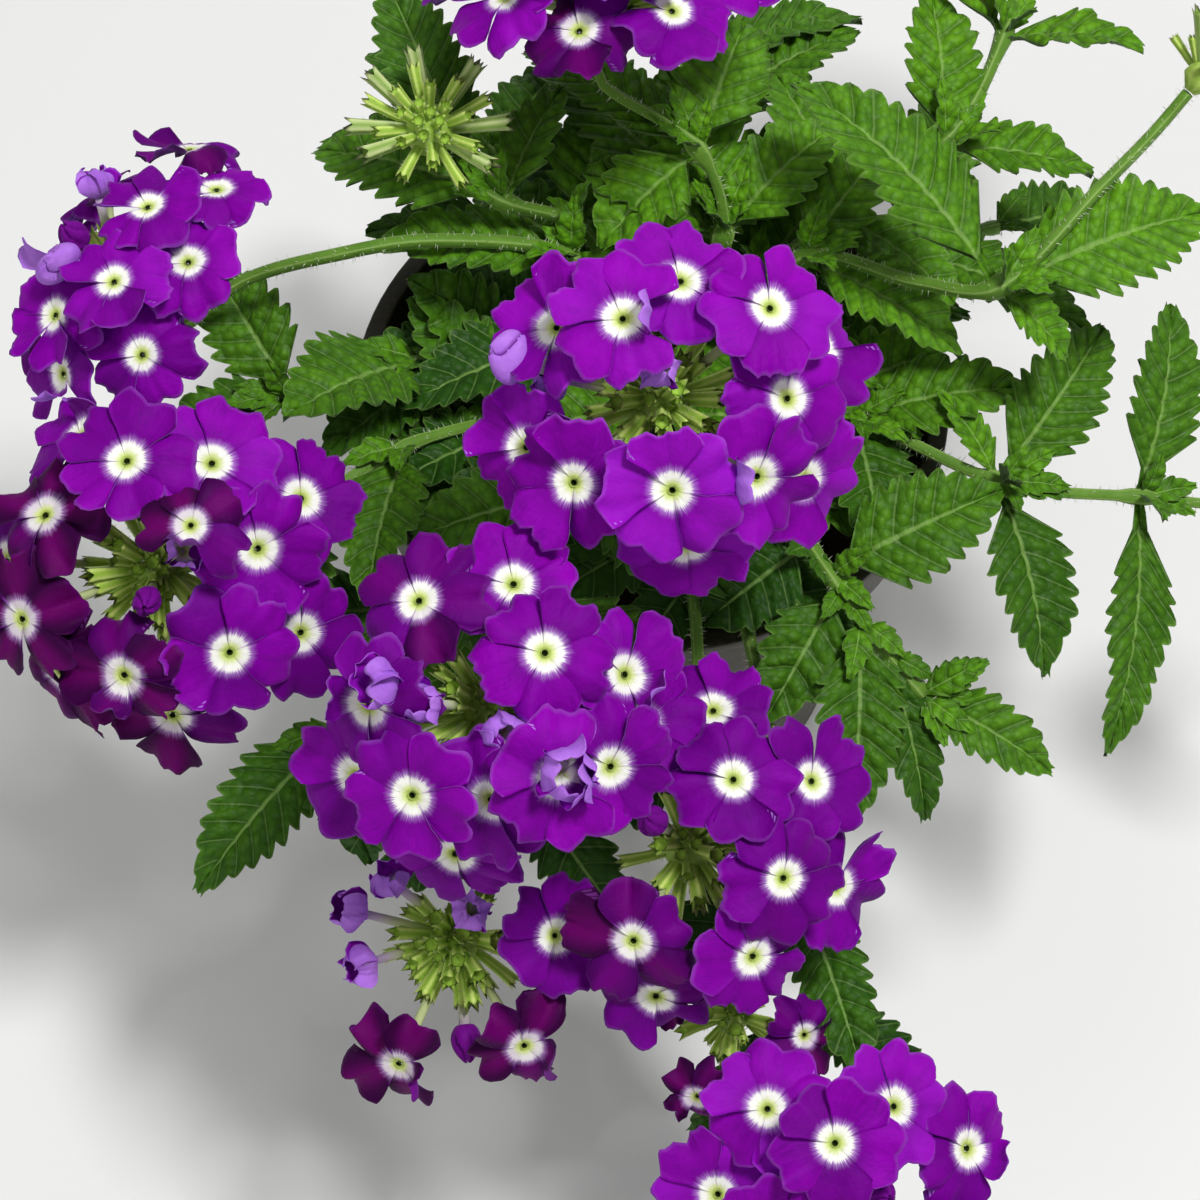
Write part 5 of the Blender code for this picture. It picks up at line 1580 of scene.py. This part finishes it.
def petal_material():
    """Velvety violet with a feathered white eye and a green throat, lilac underneath. Painted
    shade darkens the seams between petals near the eye, the mouth of the tube and the creases of
    buds, and a painted highlight of lilac runs along each rim.

    The first mark is the share of the floret's radius, and the third is the age: above 1 the
    piece is a bud, dark near 1.2 and lilac at 2.
    """
    paint = Finish("verbena_petal")
    reach, across, age, under = paint.marks()
    blotch = paint.mottled(170.0, 1.8)
    line = paint.node("ShaderNodeCombineXYZ", X=paint.times(across, 2.2),
                      Y=paint.times(age, 9.0), Z=paint.times(reach, 0.5)).outputs[0]
    ray = paint.node("ShaderNodeTexNoise", Vector=line, Scale=7.0, Detail=3.0,
                     Roughness=0.65).outputs["Fac"]
    feather = paint.maths("MULTIPLY_ADD", ray, 0.2, reach)
    from_mid = paint.maths("ABSOLUTE", across)
    dark = paint.layers(MAROONS[0], (paint.step(from_mid, 0.8, 0.1), 0.8, MAROONS[1]))
    ageing = paint.maths("MULTIPLY_ADD", paint.step(age, 0.5, 1.1), -0.4, 1.0)
    # Painted shade at the seams between petals, near the eye
    seam_shade_mask = paint.times(paint.step(from_mid, 0.8, 0.97), paint.step(feather, 0.32, 0.39))
    upper = paint.layers(
        paint.blend(paint.step(ray, 0.35, 0.65), *VIOLETS),
        (blotch, 1, VIOLET_BLOTCH),
        (paint.step(age, 0.2, -0.1), 0.55, VIOLET_PALE),
        (paint.step(reach, 0.7, 0.3), 0.4, VIOLET_BY_EYE),
        (paint.step(age, 0.08, 0.55), 0.6, VIOLET_RIPE),
        (paint.step(age, 0.5, 0.95), 1, dark),
        (paint.step(feather, 0.5, 0.36), 0.5, EYE_BLUSH),
        (paint.times(paint.step(feather, 0.41, 0.345), ageing), 1, EYE_WHITE),
        (paint.times(seam_shade_mask, paint.step(feather, 0.56, 0.46)), 0.7, SEAM_SHADE),
        (paint.step(feather, 0.3, 0.2), 0.85, THROAT_GREEN),
        (paint.step(reach, 0.12, 0.07), 0.6, THROAT_LIP),
        # Painted shade: the mouth of the tube goes dark
        (paint.step(reach, 0.055, 0.04), 1, THROAT_SHADOW),
    )
    lilac = paint.blend(blotch, *LILACS)
    bud = paint.blend(paint.step(age, 1.25, 1.7), BUD_VIOLET, lilac)
    # Painted shade in the creases between a bud's folded petals
    crease_shaded = paint.blend(paint.step(across, -0.98, -0.6), BUD_CREASE_SHADE, bud)
    faded = paint.blend(paint.step(age, 0.35, 0.9), lilac, LILAC_FADED)
    lower = paint.blend(paint.step(age, 1.0, 1.15), faded, crease_shaded)
    tube = paint.blend(paint.step(reach, 2.5, 3.0), *TUBES)
    colour = paint.layers(upper, (under, 1, lower), (paint.step(reach, 1.5, 2.0), 1, tube))
    relief = paint.grained(700.0, 0.0003, 0.1)["Normal"]
    return paint.done(
        Base_Color=colour, Normal=relief, Roughness=0.6, Sheen_Weight=0.02,
        Sheen_Roughness=0.5, Sheen_Tint=(0.75, 0.15, 1.0), Specular_IOR_Level=0.06,
    )


def leaf_material():
    """Quilted green, lighter or darker by painted light, with painted shade in the sunk veins and
    the creases between cells, pale vein lines, a painted highlight along the margin, and a
    grey-green underside.

    The first mark counts the veins, each a whole number, and the second goes from edge to edge.
    """
    paint = Finish("verbena_leaf")
    vein, across, shade, under = paint.marks()
    blotch, relief = paint.mottled(190.0, 1.8), paint.grained(560.0, 0.0011, 0.7)
    side = paint.maths("ABSOLUTE", across)
    part = paint.maths("FRACT", paint.maths("ADD", vein, 0.5))
    to_vein = paint.maths("ABSOLUTE", paint.maths("SUBTRACT", part, 0.5))
    on_blade = paint.step(vein, -0.6, -0.2)
    # Painted shade along the sunk veins
    vein_shade = paint.times(paint.step(to_vein, 0.24, 0.04), on_blade)
    side_vein = paint.times(paint.step(to_vein, 0.06, 0.015), on_blade)
    lines = paint.maths("MAXIMUM", paint.times(side_vein, 0.5), paint.step(side, 0.07, 0.02))
    # Painted highlight along the leaf's margin
    margin_highlight = paint.times(paint.step(side, 0.93, 1.0), 0.6)
    # Painted light and shade: the leaf's third mark turns a shaded green into a lit one
    dark, light = paint.blend(blotch, *LEAF_SHADED_GREENS), paint.blend(blotch, *LEAF_LIT_GREENS)
    upper = paint.layers(
        paint.blend(paint.step(shade, 0.0, 1.0), dark, light),
        (vein_shade, 0.45, LEAF_GROOVE_SHADE),
        # Painted shade in the creases between the quilted cells
        (relief["Crease"], 0.35, LEAF_CREASE_SHADE),
        (paint.maths("MAXIMUM", lines, margin_highlight), 0.6, LEAF_VEIN_AND_MARGIN_HIGHLIGHT),
    )
    lower = paint.blend(lines, *LEAF_UNDERSIDES)
    return paint.done(
        Base_Color=paint.blend(under, upper, lower), Normal=relief["Normal"], Roughness=0.5,
        Sheen_Weight=0.02, Sheen_Tint=(0.8, 1.0, 0.6), Specular_IOR_Level=0.17,
    )


def stem_material():
    """Pale green, ridged and downy, a little bronzed near the peat."""
    paint = Finish("verbena_stem")
    _, ridge, _, hair = paint.marks()
    where = paint.node("ShaderNodeTexCoord").outputs["Object"]
    height = paint.node("ShaderNodeSeparateXYZ", Vector=where).outputs["Z"]
    colour = paint.layers(
        paint.blend(paint.mottled(150.0, 1.6), *STEM_GREENS),
        (paint.step(ridge, 0.2, 1.0), 0.55, STEM_CREST),
        (paint.step(height, 0.1, 0.083), 0.6, STEM_BRONZE),
        (hair, 1, STEM_DOWN),
    )
    return paint.done(
        Base_Color=colour, Normal=paint.grained(1400.0, 0.0002, 0.3)["Normal"],
        Roughness=0.55, Sheen_Weight=0.04, Specular_IOR_Level=0.2,
    )


def calyx_material():
    """Ribbed green, paler on the ribs, with painted shade at the foot and dark tips to the teeth.
    A shade over 1 is bare.
    """
    paint = Finish("verbena_calyx")
    share, groove, shade, hair = paint.marks()
    blotch = paint.mottled(420.0, 1.6)
    ribs, grooves = paint.blend(blotch, *CALYX_RIBS), paint.blend(blotch, *CALYX_GROOVES)
    ribbed = paint.blend(paint.step(groove, 0.1, 0.8), ribs, grooves)
    bare = paint.step(shade, 1.1, 1.3)
    withered = paint.maths("MULTIPLY_ADD", bare, 0.5, 0.3)
    colour = paint.layers(
        # Painted shade: darker at the foot, deep in the head's middle
        paint.blend(paint.step(share, 0.0, 0.5), CALYX_FOOT_SHADE, ribbed),
        (bare, 0.8, paint.blend(groove, *CALYX_BARE)),
        (paint.times(paint.step(share, 0.88, 1.0), withered), 1, CALYX_TIP),
        (hair, 1, CALYX_DOWN),
    )
    return paint.done(
        Base_Color=colour, Normal=paint.grained(1600.0, 0.00015, 0.3)["Normal"],
        Roughness=0.55, Sheen_Weight=0.03, Specular_IOR_Level=0.2,
    )


def pot_material():
    """Moulded dark grey-brown plastic, dusty and scuffed."""
    paint = Finish("pot_plastic_worn")
    worn = paint.times(paint.mottled(60.0, 1.4), paint.mottled(700.0, 4.0))
    return paint.done(
        Base_Color=paint.blend(worn, *POT_GREYS),
        Roughness=paint.maths("MULTIPLY_ADD", worn, 0.3, 0.45),
        Normal=paint.grained(2200.0, 0.00006, 0.0)["Normal"],
    )


def peat_material():
    """Moist dark crumb with pale perlite, which has a shade of 2."""
    paint = Finish("peat_crumbs")
    _, _, shade, _ = paint.marks()
    colour = paint.layers(
        paint.blend(paint.mottled(500.0, 2.0), *PEAT_BROWNS),
        (paint.step(shade, 0.3, 1.0), 1, PEAT_LIT),
        (paint.step(shade, 1.4, 1.6), 1, PEAT_PALE),
    )
    return paint.done(
        Base_Color=colour, Normal=paint.grained(1300.0, 0.0008, 0.5)["Normal"],
        Roughness=0.95, Specular_IOR_Level=0.2,
    )


# Studio, in metres


def build_floor():
    """A plain pale floor."""
    bpy.ops.mesh.primitive_plane_add(size=FLOOR_SIZE, location=(0, 0, 0))
    floor = bpy.context.object
    floor.name = "studio_floor"
    floor.data.materials.append(Finish("floor_paper").done(Base_Color=FLOOR_GREY, Roughness=0.9))


def add_softbox(name, place, size, power):
    """A round soft light that looks at the middle of the plant."""
    light = bpy.data.lights.new(name, "AREA")
    light.shape = "DISK"
    light.size = size
    light.energy = power
    lamp = bpy.data.objects.new(name, light)
    bpy.context.scene.collection.objects.link(lamp)
    lamp.location = place
    lamp.rotation_euler = (Vector(LIGHTS_AIM) - Vector(place)).to_track_quat("-Z", "Y").to_euler()


def light_studio():
    world = bpy.data.worlds.new("studio_air")
    world.use_nodes = True
    air = world.node_tree.nodes["Background"].inputs
    air["Color"].default_value = (1.0, 1.0, 1.0, 1.0)
    air["Strength"].default_value = AIR_STRENGTH
    bpy.context.scene.world = world
    bpy.context.scene.view_settings.view_transform = "Standard"
    for softbox in SOFTBOXES:
        add_softbox(*softbox)


def place_camera():
    """The photograph's view: from in front, looking down at sixty degrees."""
    rise = math.radians(CAMERA_RISE)
    ahead = Vector((0, math.cos(rise), -math.sin(rise)))
    camera = bpy.data.objects.new("camera", bpy.data.cameras.new("camera"))
    bpy.context.scene.collection.objects.link(camera)
    camera.location = (Vector(CAMERA_AIM) - ahead * CAMERA_DISTANCE) * MM
    camera.rotation_euler = (math.radians(90 - CAMERA_RISE), 0, 0)
    camera.data.sensor_width = SENSOR
    camera.data.sensor_fit = "HORIZONTAL"
    camera.data.lens = SENSOR * PIXELS_PER_MM * CAMERA_DISTANCE / PHOTO_SIZE
    camera.data.clip_start = 0.01
    bpy.context.scene.camera = camera


def main():
    place_camera()
    build_floor()
    light_studio()
    add_mottling_group()
    add_grain_group()
    leaf_finish, stem_finish = leaf_material(), stem_material()
    petal_finish, calyx_finish = petal_material(), calyx_material()
    build_pot(pot_material())
    build_peat(peat_material())
    for name in SHOOTS:
        build_shoot(name, leaf_finish, stem_finish)
    for name in HEADS:
        build_head(name, petal_finish, calyx_finish)


main()
